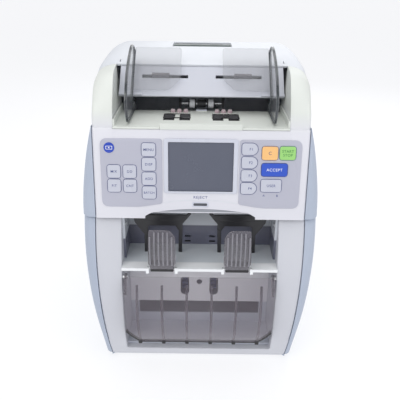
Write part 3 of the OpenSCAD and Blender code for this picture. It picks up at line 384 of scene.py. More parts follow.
smokeLooks = {
    "smokeClear": dict(colour=(0.30, 0.31, 0.34), shade=(0.36, 0.37, 0.40), alpha=0.15, edgeAlpha=0.3,
                       rough=0.08, dust=0.15),
    "smokeCover": dict(colour=(0.17, 0.14, 0.18), shade=(0.23, 0.20, 0.24), alpha=0.17, edgeAlpha=0.6,
                       rough=0.1, dust=0.12),
    "smokeRim": dict(colour=(0.05, 0.06, 0.07), shade=(0.08, 0.09, 0.10), alpha=0.88, edgeAlpha=0.97,
                     rough=0.1, dust=0.05),
    "smokeRib": dict(colour=(0.10, 0.085, 0.11), shade=(0.15, 0.13, 0.165), alpha=0.6, edgeAlpha=0.85,
                     rough=0.2, dust=0.1),
    "smokeGrey": dict(colour=(0.19, 0.185, 0.215), shade=(0.26, 0.25, 0.285), alpha=0.85, edgeAlpha=0.97,
                      rough=0.25, dust=0.15),
    "smokeDark": dict(colour=(0.11, 0.10, 0.12), shade=(0.17, 0.16, 0.19), alpha=0.62, edgeAlpha=0.97,
                      rough=0.12, dust=0.15),
}
finish.update({name: smokedPlastic(name, look) for name, look in smokeLooks.items()})


def brushedMetal(name, look):
    material, tree, shader = newMaterial(name)
    place = addNode(tree, "ShaderNodeTexCoord").outputs["Object"]
    stretched = addNode(tree, "ShaderNodeMapping", {"Vector": place, "Scale": look["stretch"]}).outputs[0]
    lines = noiseAt(tree, stretched, 900.0, 4.0, 0.6)
    skin = useGroup(tree, mouldedSkin, {"Grain Scale": 700.0})
    colour = mixColour(tree, skin.outputs["Mottle"], look["colour"], look["shade"])
    tree.links.new(colour, shader.inputs["Base Color"])
    shader.inputs["Metallic"].default_value = 1.0
    tree.links.new(mapRange(tree, lines, 0.3, 0.7, look["rough"] - 0.08, look["rough"] + 0.1),
                   shader.inputs["Roughness"])
    bumpFrom(tree, shader, lines, 0.15, 0.00005)
    return material


metalLooks = {
    "foldedSteel": dict(colour=(0.55, 0.56, 0.58), shade=(0.48, 0.49, 0.51), rough=0.38,
                        stretch=(1, 0.03, 1)),
    "groundSteel": dict(colour=(0.68, 0.69, 0.70), shade=(0.60, 0.61, 0.63), rough=0.22,
                        stretch=(1, 0.05, 0.05)),
    "turnedAluminium": dict(colour=(0.80, 0.80, 0.83), shade=(0.72, 0.72, 0.76), rough=0.28,
                            stretch=(1, 0.04, 0.04)),
    "motorBlack": dict(colour=(0.05, 0.05, 0.055), shade=(0.07, 0.07, 0.075), rough=0.45,
                       stretch=(1, 1, 1)),
}
finish.update({name: brushedMetal(name, look) for name, look in metalLooks.items()})


def rubber(name, look):
    # matt rubber, ribbed across X where a pitch is given
    material, tree, shader = newMaterial(name)
    skin = useGroup(tree, mouldedSkin, {"Grain Scale": 2000.0})
    dust = useGroup(tree, dustFilm, {"Amount": 0.1})
    colour = mixColour(tree, skin.outputs["Mottle"], look["colour"], look["shade"])
    colour = mixColour(tree, dust.outputs["Mask"], colour, (0.2, 0.19, 0.18))
    tree.links.new(colour, shader.inputs["Base Color"])
    tree.links.new(mapRange(tree, skin.outputs["Rub"], 0, 1, 0.6, 0.85), shader.inputs["Roughness"])
    height = skin.outputs["Height"]
    if "pitch" in look:
        place = addNode(tree, "ShaderNodeTexCoord").outputs["Object"]
        across = addNode(tree, "ShaderNodeSeparateXYZ", {0: place}).outputs["X"]
        band = useGroup(tree, stripes, {"Coordinate": across, "Pitch": look["pitch"]}).outputs["Band"]
        height = maths(tree, "ADD", maths(tree, "MULTIPLY", height, 0.3), band)
    bumpFrom(tree, shader, height, 0.5, 0.0003)
    return material


rubberLooks = {
    "feetRubber": dict(colour=(0.02, 0.02, 0.022), shade=(0.035, 0.035, 0.037)),
    "rollerRubber": dict(colour=(0.014, 0.014, 0.018), shade=(0.022, 0.022, 0.027)),
    "beltRubber": dict(colour=(0.02, 0.02, 0.022), shade=(0.03, 0.03, 0.033), pitch=0.002),
    "vaneBlue": dict(colour=(0.09, 0.14, 0.26), shade=(0.12, 0.17, 0.30)),
}
finish.update({name: rubber(name, look) for name, look in rubberLooks.items()})


def displayGlass():
    # unlit screen: dark, lighter towards the top as a painted reflection of the lights above, and faint dust under
    # a clear window
    look = {"low": (0.068, 0.078, 0.118), "high": (0.095, 0.105, 0.145), "base": 0.245, "top": 0.335}
    material, tree, shader = newMaterial("displayGlass")
    place = addNode(tree, "ShaderNodeTexCoord").outputs["Object"]
    height = addNode(tree, "ShaderNodeSeparateXYZ", {0: place}).outputs["Z"]
    # painted reflection: the screen's colour lightens towards its top
    fade = mapRange(tree, height, look["base"], look["top"], 0, 1)
    skin = useGroup(tree, mouldedSkin, {"Grain Scale": 3000.0, "Mottle Scale": 16.0})
    colour = mixColour(tree, fade, look["low"], look["high"])
    colour = mixColour(tree, maths(tree, "MULTIPLY", skin.outputs["Mottle"], 0.25), colour,
                       (0.12, 0.13, 0.17))
    tree.links.new(colour, shader.inputs["Base Color"])
    tree.links.new(mapRange(tree, skin.outputs["Rub"], 0, 1, 0.16, 0.3), shader.inputs["Roughness"])
    shader.inputs["Coat Weight"].default_value = 0.5
    shader.inputs["Coat Roughness"].default_value = 0.05
    bumpFrom(tree, shader, skin.outputs["Height"], 0.05, 0.00005)
    return material


finish["displayGlass"] = displayGlass()
print("materials made:", len(finish))

# making and placing pieces


def link(obj, material, body, replaces=(), smoothAngle=35):
    if obj.name not in scene.collection.objects:
        scene.collection.objects.link(obj)
    if material:
        obj.data.materials.clear()
        obj.data.materials.append(finish[material])
    if obj.type == "MESH":
        obj.data.polygons.foreach_set("use_smooth", [True] * len(obj.data.polygons))
        obj.data.set_sharp_from_angle(angle=math.radians(smoothAngle))
    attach(obj, body)
    if replaces:
        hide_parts(*replaces)
    return obj


def meshPiece(name, points, faces, material, body, replaces=(), smoothAngle=35):
    mesh = bpy.data.meshes.new(name)
    mesh.from_pydata([tuple(p) for p in points], [], faces)
    mesh.validate()
    obj = bpy.data.objects.new(name, mesh)
    return link(obj, material, body, replaces, smoothAngle)


def gridFaces(rows, columns, start=0, closed=False):
    faces = []
    for i in range(rows - 1):
        for j in range(columns - (0 if closed else 1)):
            k = (j + 1) % columns
            faces.append((start + i * columns + j, start + i * columns + k,
                          start + (i + 1) * columns + k, start + (i + 1) * columns + j))
    return faces


def thicken(obj, thickness, offset=-1.0, bevel=0.0, even=True):
    solid = obj.modifiers.new("wall", "SOLIDIFY")
    solid.thickness = thickness
    solid.offset = offset
    solid.use_even_offset = even
    if bevel:
        softenEdges(obj, bevel)
    return obj


def softenEdges(obj, width, segments=3, angle=35):
    bevel = obj.modifiers.new("softEdges", "BEVEL")
    bevel.width = width
    bevel.segments = segments
    bevel.limit_method = "ANGLE"
    bevel.angle_limit = math.radians(angle)
    bevel.harden_normals = False
    bevel.use_clamp_overlap = True
    return bevel


def applyModifiers(obj):
    graph = bpy.context.evaluated_depsgraph_get()
    made = bpy.data.meshes.new_from_object(obj.evaluated_get(graph))
    obj.modifiers.clear()
    obj.data = made


def roundCorners(points, radius, steps=5):
    # replaces each corner of a closed outline by an arc; radius may be one number or one for each corner
    count = len(points)
    radii = radius if isinstance(radius, (list, tuple)) else [radius] * count
    made = []
    for i, point in enumerate(points):
        here = Vector(point)
        back = (Vector(points[i - 1]) - here)
        ahead = (Vector(points[(i + 1) % count]) - here)
        reach = min(radii[i], back.length * 0.49, ahead.length * 0.49)
        if radii[i] <= 0 or reach < 1e-7:
            made.append(tuple(here))
            continue
        a = here + back.normalized() * reach
        b = here + ahead.normalized() * reach
        for k in range(steps + 1):
            t = k / steps
            made.append(tuple(a * (1 - t) ** 2 + here * 2 * t * (1 - t) + b * t * t))
    return made


def roundRect(x0, x1, y0, y1, radius, steps=5):
    return roundCorners([(x0, y0), (x1, y0), (x1, y1), (x0, y1)], radius, steps)


def circlePoints(x, y, radius, count=32):
    return [(x + radius * math.cos(2 * math.pi * k / count),
             y + radius * math.sin(2 * math.pi * k / count))
            for k in range(count)]


def plateMesh(outlines, thickness, bevel, steps=2):
    # a flat plate with holes and rounded edges; its middle plane is z = 0
    curve = bpy.data.curves.new("plate", "CURVE")
    curve.dimensions = "2D"
    curve.fill_mode = "BOTH"
    curve.extrude = thickness / 2 - bevel
    curve.bevel_depth = bevel
    curve.bevel_resolution = steps
    curve.offset = -bevel
    for outline in outlines:
        spline = curve.splines.new("POLY")
        spline.points.add(len(outline) - 1)
        for point, (x, y) in zip(spline.points, outline):
            point.co = (x, y, 0, 1)
        spline.use_cyclic_u = True
    holder = bpy.data.objects.new("plate", curve)
    scene.collection.objects.link(holder)
    graph = bpy.context.evaluated_depsgraph_get()
    mesh = bpy.data.meshes.new_from_object(holder.evaluated_get(graph))
    bpy.data.objects.remove(holder)
    shape = bmesh.new()
    shape.from_mesh(mesh)
    bmesh.ops.remove_doubles(shape, verts=shape.verts, dist=1e-6)
    shape.to_mesh(mesh)
    shape.free()
    return mesh


def plate(name, outlines, thickness, bevel, place, material, body, replaces=(), steps=2):
    mesh = plateMesh(outlines, thickness, bevel, steps)
    mesh.name = name
    mesh.transform(place)
    obj = bpy.data.objects.new(name, mesh)
    return link(obj, material, body, replaces)


def joined(name, objects):
    # one mesh from several that share a frame; the first one keeps its body and material
    shape = bmesh.new()
    for obj in objects:
        shape.from_mesh(obj.data)
    keeper = objects[0]
    shape.to_mesh(keeper.data)
    shape.free()
    for obj in objects[1:]:
        bpy.data.objects.remove(obj)
    keeper.name = name
    keeper.data.polygons.foreach_set("use_smooth", [True] * len(keeper.data.polygons))
    keeper.data.set_sharp_from_angle(angle=math.radians(35))
    return keeper


def lathe(name, profile, place, material, body, replaces=(), count=40):
    # profile is (along, radius); place puts the along axis in the frame
    points, faces = [], []
    for along, radius in profile:
        for k in range(count):
            a = 2 * math.pi * k / count
            points.append(place @ Vector((along, radius * math.cos(a), radius * math.sin(a))))
    faces = gridFaces(len(profile), count, closed=True)
    faces.append(tuple(range(count))[::-1])
    faces.append(tuple((len(profile) - 1) * count + k for k in range(count)))
    return meshPiece(name, points, faces, material, body, replaces)


def cutAway(obj, cutters):
    for cutter in cutters:
        cut = obj.modifiers.new("cut", "BOOLEAN")
        cut.object = cutter
        cut.operation = "DIFFERENCE"
        cut.solver = "EXACT"
    applyModifiers(obj)
    for cutter in cutters:
        bpy.data.objects.remove(cutter)


def cutterFrom(mesh):
    obj = bpy.data.objects.new("cutter", mesh)
    scene.collection.objects.link(obj)
    return obj


def nodeBox(name):
    low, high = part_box(name)
    return Vector(low), Vector(high)


# frames that several pieces share: the sloping panel and the hopper's back plate
inward = Vector(jointsByName["menu_press"]["axis"])
upPanel = Vector((0, -inward.z, inward.y))
bezelLow, bezelHigh = nodeBox("display_bezel")
bezelFoot, bezelTop = 31 * mm, 99.5 * mm
panelOrigin = Vector((0, bezelHigh.y - bezelTop * upPanel.y, bezelLow.z - bezelFoot * upPanel.z))


def onPanel(x, v, out=0.0):
    return panelOrigin + Vector((x, 0, 0)) + upPanel * v - inward * out


# x across, y up the panel, z out of it
panelFrame = Matrix.Translation(panelOrigin) @ Matrix((
    (1, 0, 0, 0), (0, upPanel.y, -inward.y, 0), (0, upPanel.z, -inward.z, 0), (0, 0, 0, 1)))
half = math.sqrt(0.5)
floorLow, floorHigh = nodeBox("hopper_floor")
print("helpers ready; panel origin", [round(c, 4) for c in panelOrigin])

# hood

hoodSet = {
    "halfWidth": 132.5 * mm,
    "halfRecess": 107 * mm,
    "roundFrom": 104.5 * mm,     # where the upper side edges start to round off
    "roundWidth": 28 * mm,
    "sideTop": 373 * mm,       # height of the rounded edge at the side walls
    "browTop": 391 * mm,
    "browRadius": 58 * mm,
    "browCentre": (-70.694 * mm, 333.013 * mm),
    "lip": 110.2 * mm,
    "crease": -36.0 * mm,
    "bottom": 219 * mm,
    "frontRound": 4 * mm,
    "wallFoot": 331.2 * mm,
    "ledge": 2.2 * mm,           # the brow is set back this far above the panel
    "swell": 0.072,
    "skin": 2.6 * mm,
    "keyGap": 0.3 * mm,
    "screenHole": (-42.5 * mm, 42.5 * mm, 32.2 * mm, 96.5 * mm),
    "lampHole": (-9 * mm, 9 * mm, 14.1 * mm, 18.3 * mm),
}


def bulge(point):
    # the sides swell above the side covers, more towards the back
    rise = min(1.0, max(0.0, (point.z - 334 * mm) / (36 * mm)))
    reach = min(1.0, max(0.0, (point.y + 112 * mm) / (100 * mm)))
    swell = 1 + hoodSet["swell"] * reach * rise * rise * (3 - 2 * rise)
    return Vector((point.x * swell, point.y, point.z))


def capHeight(x, top):
    u = max(0.0, (abs(x) - hoodSet["roundFrom"]) / hoodSet["roundWidth"])
    return hoodSet["sideTop"] + (top - hoodSet["sideTop"]) * math.sqrt(max(0.0, 1 - u * u))


def edgeColumns(start):
    # x positions from start to the side wall, closer together where the edge turns down
    s = hoodSet
    first = math.asin((start - s["roundFrom"]) / s["roundWidth"])
    turns = [first + (math.pi / 2 - first) * k / 9 for k in range(10)]
    return [s["roundFrom"] + s["roundWidth"] * math.sin(turn) for turn in turns]


def shell(name, points, faces, thickness, soft, centre, material, body, replaces, cutters=(),
          even=True):
    mesh = bpy.data.meshes.new(name)
    mesh.from_pydata([tuple(p) for p in points], [], faces)
    shape = bmesh.new()
    shape.from_mesh(mesh)
    bmesh.ops.remove_doubles(shape, verts=shape.verts, dist=0.00004)
    bmesh.ops.dissolve_degenerate(shape, edges=shape.edges, dist=0.00001)
    bmesh.ops.recalc_face_normals(shape, faces=shape.faces)
    outward = sum(face.normal.dot(face.calc_center_median() - Vector(centre)) * face.calc_area()
                  for face in shape.faces)
    if outward < 0:
        bmesh.ops.reverse_faces(shape, faces=shape.faces)
    shape.to_mesh(mesh)
    shape.free()
    obj = bpy.data.objects.new(name, mesh)
    scene.collection.objects.link(obj)
    if soft:
        softenEdges(obj, soft, 4, 38)
    thicken(obj, thickness, even=even)
    applyModifiers(obj)
    if cutters:
        cutAway(obj, cutters)
    return link(obj, material, body, replaces)


def prism(outline, low, high, place):
    # a plain closed prism used only to cut with
    count = len(outline)
    points = [place @ Vector((x, y, z)) for z in (low, high) for x, y in outline]
    faces = [tuple(range(count))[::-1], tuple(range(count, 2 * count))]
    faces += [(k, (k + 1) % count, count + (k + 1) % count, count + k) for k in range(count)]
    mesh = bpy.data.meshes.new("prism")
    mesh.from_pydata([tuple(p) for p in points], [], faces)
    shape = bmesh.new()
    shape.from_mesh(mesh)
    bmesh.ops.recalc_face_normals(shape, faces=shape.faces)
    shape.to_mesh(mesh)
    shape.free()
    return mesh


def mergedCutter(meshes):
    shape = bmesh.new()
    for mesh in meshes:
        shape.from_mesh(mesh)
    mesh = bpy.data.meshes.new("cutters")
    shape.to_mesh(mesh)
    shape.free()
    return cutterFrom(mesh)


keyNames = [name for name in nodes if name.endswith("_key")]
roundEnded = ("f1_key", "f2_key", "f3_key", "f4_key")


def keyPlan(name):
    # the cap's outline on the panel, read from its solid
    caps = []
    for vertex in nodes[name].data.vertices:
        offset = vertex.co - panelOrigin
        if -offset.dot(inward) > 1 * mm:
            caps.append((vertex.co.x, offset.dot(upPanel)))
    xs, vs = [c[0] for c in caps], [c[1] for c in caps]
    return min(xs), max(xs), min(vs), max(vs)


keyPlans = {name: keyPlan(name) for name in keyNames}


def keyOutline(name, grow, corner):
    x0, x1, v0, v1 = keyPlans[name]
    x0, x1, v0, v1 = x0 - grow, x1 + grow, v0 - grow, v1 + grow
    if name not in roundEnded:
        return roundRect(x0, x1, v0, v1, corner)
    h = (v1 - v0) / 2
    arc = [(x1 - h + h * math.sin(math.pi * k / 16),
            v0 + h - h * math.cos(math.pi * k / 16)) for k in range(17)]
    left = roundCorners([(x0, v0), (x1 - h, v0), (x1 - h, v1), (x0, v1)], [corner, 0, 0, corner])
    return [p for p in left if p[0] < x1 - h - 1e-6 and p[1] < v0 + h] + arc + [
        p for p in left if p[0] < x1 - h - 1e-6 and p[1] >= v0 + h]


def browPoint(x, angle):
    # angle runs from the panel's normal to straight up
    s = hoodSet
    cy, cz = s["browCentre"]
    rise = (capHeight(x, s["browTop"]) - cz) / s["browRadius"]
    return Vector((x, cy - s["browRadius"] * math.cos(angle),
                   cz + s["browRadius"] * math.sin(angle) * rise))


def makeHood():
    s = hoodSet
    lean = math.asin(-inward.z)
    side = edgeColumns(s["halfRecess"])
    side = sorted(set([round(x, 6) for x in side] + [0.1295, 0.131, 0.132, 0.1324]))
    foot = (s["bottom"] - panelOrigin.z) / upPanel.z

    def setback(x):
        past = max(0.0, abs(x) - (s["halfWidth"] - s["frontRound"]))
        return s["frontRound"] - math.sqrt(max(0.0, s["frontRound"] ** 2 - past ** 2))

    points, faces = [], []
    rows = [foot, 12 * mm, 40 * mm, 75 * mm, s["lip"]]
    middle = [-s["halfRecess"] + 2 * s["halfRecess"] * k / 20 for k in range(21)]
    for v in rows:
        points += [onPanel(x, v) for x in middle]
    faces += gridFaces(len(rows), len(middle))
    angles = [lean + (math.pi / 2 - lean) * k / 14 for k in range(15)]
    sideRows = [(v, 0.0) for v in rows] + [(s["lip"] + 0.9 * mm, 0.5 * mm),
                                           (s["lip"] + 1.2 * mm, s["ledge"]),
                                           (s["lip"] + 3 * mm, s["ledge"])]
    for sign in (-1, 1):
        start = len(points)
        for v, back in sideRows:
            points += [onPanel(sign * x, v, -setback(x) - back) for x in side]
        for angle in angles:
            fade = math.cos(angle)
            points += [browPoint(sign * x, angle) + inward * (setback(x) + s["ledge"]) * fade
                       for x in side]
        for k in (1, 2, 3, 4):
            y = s["browCentre"][0] + (s["crease"] - s["browCentre"][0]) * k / 4
            points += [Vector((sign * x, y, capHeight(x, s["browTop"]))) for x in side]
        count = len(sideRows) + len(angles) + 4
        faces += gridFaces(count, len(side), start)
        outer = [start + i * len(side) + len(side) - 1 for i in range(count)]
        points.append(Vector((sign * s["halfWidth"], s["crease"], s["bottom"])))
        faces.append(tuple(outer + [len(points) - 1]))
        inner = [start + i * len(side) for i in range(len(rows) - 1, count)]
        points.append(Vector((sign * s["halfRecess"], s["crease"], s["wallFoot"])))
        faces.append(tuple(inner + [len(points) - 1]))
    cuts = [prism(keyOutline(name, s["keyGap"], 0.6 * mm), -8 * mm, 8 * mm, panelFrame)
            for name in keyNames]
    x0, x1, v0, v1 = s["screenHole"]
    cuts.append(prism([(x0, v0), (x1, v0), (x1, v1), (x0, v1)], -8 * mm, 8 * mm, panelFrame))
    cuts.append(prism(roundRect(*s["lampHole"], 1 * mm), -8 * mm, 8 * mm, panelFrame))
    cuts.append(prism([(-69.6 * mm, -12 * mm), (69.6 * mm, -12 * mm), (69.6 * mm, 0.01 * mm),
                       (62 * mm, 4.5 * mm), (-62 * mm, 4.5 * mm), (-69.6 * mm, 0.01 * mm)],
                      -40 * mm, 8 * mm, panelFrame))
    arch = [(x * mm, (10.3 - 354 + math.sqrt(354 ** 2 - x * x)) * mm) for x in range(61, -62, -3)]
    points = [bulge(p) for p in points]
    recess = prism([(-61 * mm, 3 * mm), (61 * mm, 3 * mm)] + arch, -1.5 * mm, 5 * mm, panelFrame)
    return shell("hoodShell", points, faces, s["skin"], 2.2 * mm, (0, 0, 0.25), "whiteCase", "upper_unit",
                 ("hood",), [mergedCutter(cuts), cutterFrom(recess)])


hoodShell = makeHood()
print("hood made:", len(hoodShell.data.polygons), "faces")

# top cover

topSet = {
    "front": -35.4 * mm,
    "rear": 176 * mm,
    "crownY": 59.531 * mm,
    "crownTop": 402.5 * mm,
    "crownRadius": 400 * mm,
    "turnFrom": 116 * mm,        # where the top starts to turn down at the rear
    "turnFoot": 340 * mm,
    "cornerFrom": 125.5 * mm,
    "cornerRadius": 7 * mm,
    "skin": 2.6 * mm,
    "well": (-43 * mm, 43 * mm, 45.306 * mm, 92.306 * mm, 377.5 * mm),
}


def makeTopCover():
    s, h = topSet, hoodSet
    xs = [h["roundFrom"] * k / 8 for k in range(8)] + edgeColumns(h["roundFrom"])
    xs = [-x for x in xs[:0:-1]] + xs

    def crown(y):
        centre = s["crownTop"] - s["crownRadius"]
        return centre + math.sqrt(s["crownRadius"] ** 2 - (y - s["crownY"]) ** 2)

    def rearLimit(x):
        past = max(0.0, abs(x) - s["cornerFrom"])
        return s["rear"] - (s["cornerRadius"] - math.sqrt(max(0.0, s["cornerRadius"] ** 2 - past ** 2)))

    rows = []
    for k in range(13):
        y = s["front"] + (s["turnFrom"] - s["front"]) * k / 12
        rows.append([Vector((x, y, capHeight(x, crown(y)))) for x in xs])
    edge = crown(s["turnFrom"])
    for k in range(1, 13):
        a = math.pi / 2 * k / 12
        row = []
        for x in xs:
            fall = capHeight(x, edge) - s["turnFoot"]
            row.append(Vector((x, s["turnFrom"] + (rearLimit(x) - s["turnFrom"]) * math.sin(a),
                               s["turnFoot"] + fall * math.cos(a))))
        rows.append(row)
    for z in (300 * mm, 260 * mm, h["bottom"]):
        rows.append([Vector((x, rearLimit(x), z)) for x in xs])
    points = [p for row in rows for p in row]
    faces = gridFaces(len(rows), len(xs))
    for column, sign in ((0, -1), (len(xs) - 1, 1)):
        points.append(Vector((sign * h["halfWidth"], s["front"], h["bottom"])))
        faces.append(tuple([i * len(xs) + column for i in range(len(rows))] + [len(points) - 1]))
    points = [bulge(p) for p in points]
    x0, x1, y0, y1, floor = s["well"]
    flat = Matrix.Identity(4)
    cuts = [prism(roundRect(x0, x1, y0, y1, 3 * mm), 380 * mm, 420 * mm, flat)]
    for sign in (-1, 1):
        cuts.append(prism([(sign * 108 * mm, -28.7 * mm), (sign * 109.5 * mm, -28.7 * mm),
                           (sign * 109.5 * mm, -20.7 * mm), (sign * 108 * mm, -20.7 * mm)],
                          375 * mm, 420 * mm, flat))
    cover = shell("topCoverShell", points, faces, s["skin"], 0.0, (0, 0.05, 0.3), "topWhite",
                  "upper_unit", ("top_cover",), [mergedCutter(cuts)])
    ring = roundRect(x0, x1, y0, y1, 3 * mm)
    outer = roundRect(x0 - 2.5 * mm, x1 + 2.5 * mm, y0 - 2.5 * mm, y1 + 2.5 * mm, 5 * mm)
    walls = plate("wellWalls", [outer, ring], 23.4 * mm, 0.3 * mm,
                  Matrix.Translation((0, 0, floor + 10.7 * mm)),
                  "topWhite", "upper_unit")
    bottom = plate("wellFloor", [outer], 2.4 * mm, 0.3 * mm, Matrix.Translation((0, 0, floor - 1.2 * mm)),
                   "topWhite", "upper_unit")
    joined("handleWell", [walls, bottom])
    return cover


topCoverShell = makeTopCover()
print("top cover made:", len(topCoverShell.data.polygons), "faces")

# side covers

cheekSet = {
    "seam": 218 * mm,
    "halfBody": 150 * mm,
    "lowBow": 900 * mm,
    "topBow": 400 * mm,
    "pillarBow": 1890 * mm,
    "halfPillar": 134 * mm,
    "footWiden": 6.5 * mm,       # the foot of a lower cover stands out from the bow by this much
    "footFrom": 60,
    "footRound": 5,
    "frontRound": 13 * mm,
    "rearRound": 16 * mm,
    "rear": 175.9 * mm,
    "frontRadius": 300 * mm,
    "bulge": 95 * mm,
    "bowY": 135 * mm,
}


def faceY(z):
    s = cheekSet
    return s["bowY"] - math.sqrt(s["frontRadius"] ** 2 - (z - s["bulge"]) ** 2)


def bowed(halfWidth, radius, z):
    return halfWidth - (radius - math.sqrt(radius ** 2 - (z - cheekSet["seam"]) ** 2))


def cheekRow(innerFront, innerRear, outer, front, rear, z, sign, inset=0.0):
    # plan of a side cover at one height, from the front edge round the outside to the rear edge
    r = min(cheekSet["frontRound"], max(0.0, outer - innerFront - 0.4 * mm))
    q = min(cheekSet["rearRound"], max(0.0, outer - innerRear - 0.4 * mm))
    outer, front, rear = outer - inset, front + inset, rear - inset
    row = [(innerFront, front), (outer - r, front)]
    row += [(outer - r + r * math.sin(a), front + r - r * math.cos(a))
            for a in [math.pi / 2 * k / 7 for k in range(1, 8)]]
    row += [(outer, front + (rear - front) * k / 6) for k in range(1, 6)]
    row += [(outer - q + q * math.cos(a), rear - q + q * math.sin(a))
            for a in [math.pi / 2 * k / 7 for k in range(8)]]
    row.append((innerRear, rear))
    return [Vector((sign * x, y, z)) for x, y in row]


def makeUpperCheek(sign):
    s = cheekSet
    inner = 132.75 * mm
    slope = -inward.z / inward.y
    rows = []
    heights = [(219.0, 1.0), (219.3, 0.4), (220.0, 0.0)] + [(z, 0.0) for z in range(230, 331, 10)]
    heights += [(332.5, 0.0), (334.0, 0.0)]
    for z, inset in heights:
        front = panelOrigin.y + (z * mm - panelOrigin.z) * slope + 0.7 * mm
        outer = max(bowed(s["halfBody"], s["topBow"], z * mm), inner + 0.3 * mm)
        rows.append(cheekRow(inner, inner, outer, front, s["rear"], z * mm, sign, inset * mm))
    points = [p for row in rows for p in row]
    count = len(rows[0])
    faces = gridFaces(len(rows), count, closed=True)
    faces.append(tuple(range(count))[::-1])
    faces.append(tuple((len(rows) - 1) * count + k for k in range(count)))
    side = "Right" if sign > 0 else "Left"
    return meshPiece("upperCheek" + side, points, faces, "greyCase", "upper_unit",
                     ("hood_side_" + side.lower(),), 32)


def makeLowerCheek(sign):
    s = cheekSet
    rows = []
    heights = [(217.0, 0.9), (216.7, 0.35), (216.0, 0.0)]
    heights += [(z, 0.0) for z in range(208, 12, -8)]
    heights += [(5 + s["footRound"] * (1 - math.cos(a)), s["footRound"] * (1 - math.sin(a)))
                for a in [math.pi / 2 * (7 - k) / 7 for k in range(8)]]
    for z, inset in heights:
        high = z * mm
        innerFront = bowed(s["halfPillar"], s["pillarBow"], high) + 0.3 * mm
        widen = s["footWiden"] * max(0.0, 1 - z / s["footFrom"]) ** 2
        outer = max(bowed(s["halfBody"], s["lowBow"], high) + widen, innerFront + 1.2 * mm)
        shrink = min(inset * mm, outer - innerFront - 0.4 * mm)
        rows.append(cheekRow(innerFront, 121 * mm, outer, faceY(high) + 0.3 * mm, s["rear"], high, sign,
                             shrink))
    points = [p for row in rows for p in row]
    faces = gridFaces(len(rows), len(rows[0]))
    side = "Right" if sign > 0 else "Left"
    return shell("lowerCheek" + side, points, faces, 2.4 * mm, 0.0, (0, 0, 0.12), "greyCase", "base",
                 ("side_cover_" + side.lower(),), even=False)


for sign in (-1, 1):
    makeUpperCheek(sign)
    makeLowerCheek(sign)
print("side covers made")

# front frame

frameSet = {
    "halfPocket": 100.5 * mm,
    "sill": 18.5 * mm,
    "low": 5 * mm,
    "top": 217 * mm,
    "depth": 19 * mm,
    "wall": 3 * mm,
    "lineTop": (48 * mm, 35 * mm),   # crease of the lower cap at its inner and outer ends
    "step": 0.7 * mm,
    "linerIn": 12 * mm,          # the liners start this far behind the face
    "linerFoot": 10 * mm,
    "linerTop": 216.8 * mm,
    "linerBack": -94.3 * mm,
}


def sliced(mesh, heights, direction=(0, 0, 1)):
    shape = bmesh.new()
    shape.from_mesh(mesh)
    for height in heights:
        geometry = list(shape.verts) + list(shape.edges) + list(shape.faces)
        bmesh.ops.bisect_plane(shape, geom=geometry, dist=1e-7,
                               plane_co=Vector(direction) * height, plane_no=direction)
    shape.to_mesh(mesh)
    shape.free()


def makeFrontFrame():
    s = frameSet
    outline = []
    steps = 14
    for k in range(steps + 1):
        z = s["low"] + (s["top"] - s["low"]) * k / steps
        outline.append((bowed(cheekSet["halfPillar"], cheekSet["pillarBow"], z), z))
    ring = outline + [(s["halfPocket"], s["top"]), (s["halfPocket"], s["sill"]),
                      (-s["halfPocket"], s["sill"]), (-s["halfPocket"], s["top"])]
    ring += [(-x, z) for x, z in reversed(outline)]
    corners = [0.0] * len(ring)
    corners[0] = corners[-1] = 4 * mm
    corners[steps + 2] = corners[steps + 3] = 2.5 * mm
    mesh = plateMesh([roundCorners(ring, corners)], s["depth"], 1.6 * mm, 3)
    sliced(mesh, [-0.0005, 0.0005], (0, 0, 1))
    mesh.transform(Matrix.Rotation(math.pi / 2, 4, "X"))
    sliced(mesh, [z * mm for z in range(12, 215, 7)])
    zIn, zOut = s["lineTop"]
    slope = (zOut - zIn) / (133 * mm - s["halfPocket"])
    for vertex in mesh.vertices:
        x, y, z = vertex.co
        line = zIn + slope * (abs(x) - s["halfPocket"])
        front = y < 0
        vertex.co.y = faceY(z) + y + s["depth"] / 2 + 1.0 * mm
        if front and abs(x) > s["halfPocket"]:
            vertex.co.y += s["step"] * min(1.0, max(0.0, (z - line) / (1.2 * mm)))
    front = bpy.data.objects.new("frontFrame", mesh)
    link(front, "frameWhite", "base")
    parts = [front]
    for sign in (-1, 1):
        side = roundCorners([(faceY(s["linerFoot"]) + s["linerIn"], s["linerFoot"]),
                             (s["linerBack"], s["linerFoot"]), (s["linerBack"], s["linerTop"]),
                             (faceY(216 * mm) + s["linerIn"], s["linerTop"]),
                             (faceY(150 * mm) + s["linerIn"], 150 * mm),
                             (faceY(90 * mm) + s["linerIn"], 90 * mm)], 1 * mm)
        place = Matrix.Translation((sign * (s["halfPocket"] + s["wall"] / 2), 0, 0)) @ Matrix((
            (0, 0, 1, 0), (1, 0, 0, 0), (0, 1, 0, 0), (0, 0, 0, 1)))
        parts.append(plate("liner", [side], s["wall"], 0.3 * mm, place, "frameWhite", "base"))
    frameMesh = joined("frontFrame", parts)
    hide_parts("front_frame")
    return frameMesh


frontFrame = makeFrontFrame()
print("front frame made:", len(frontFrame.data.polygons), "faces")

# control panel: overlays, keys, legends, bezel

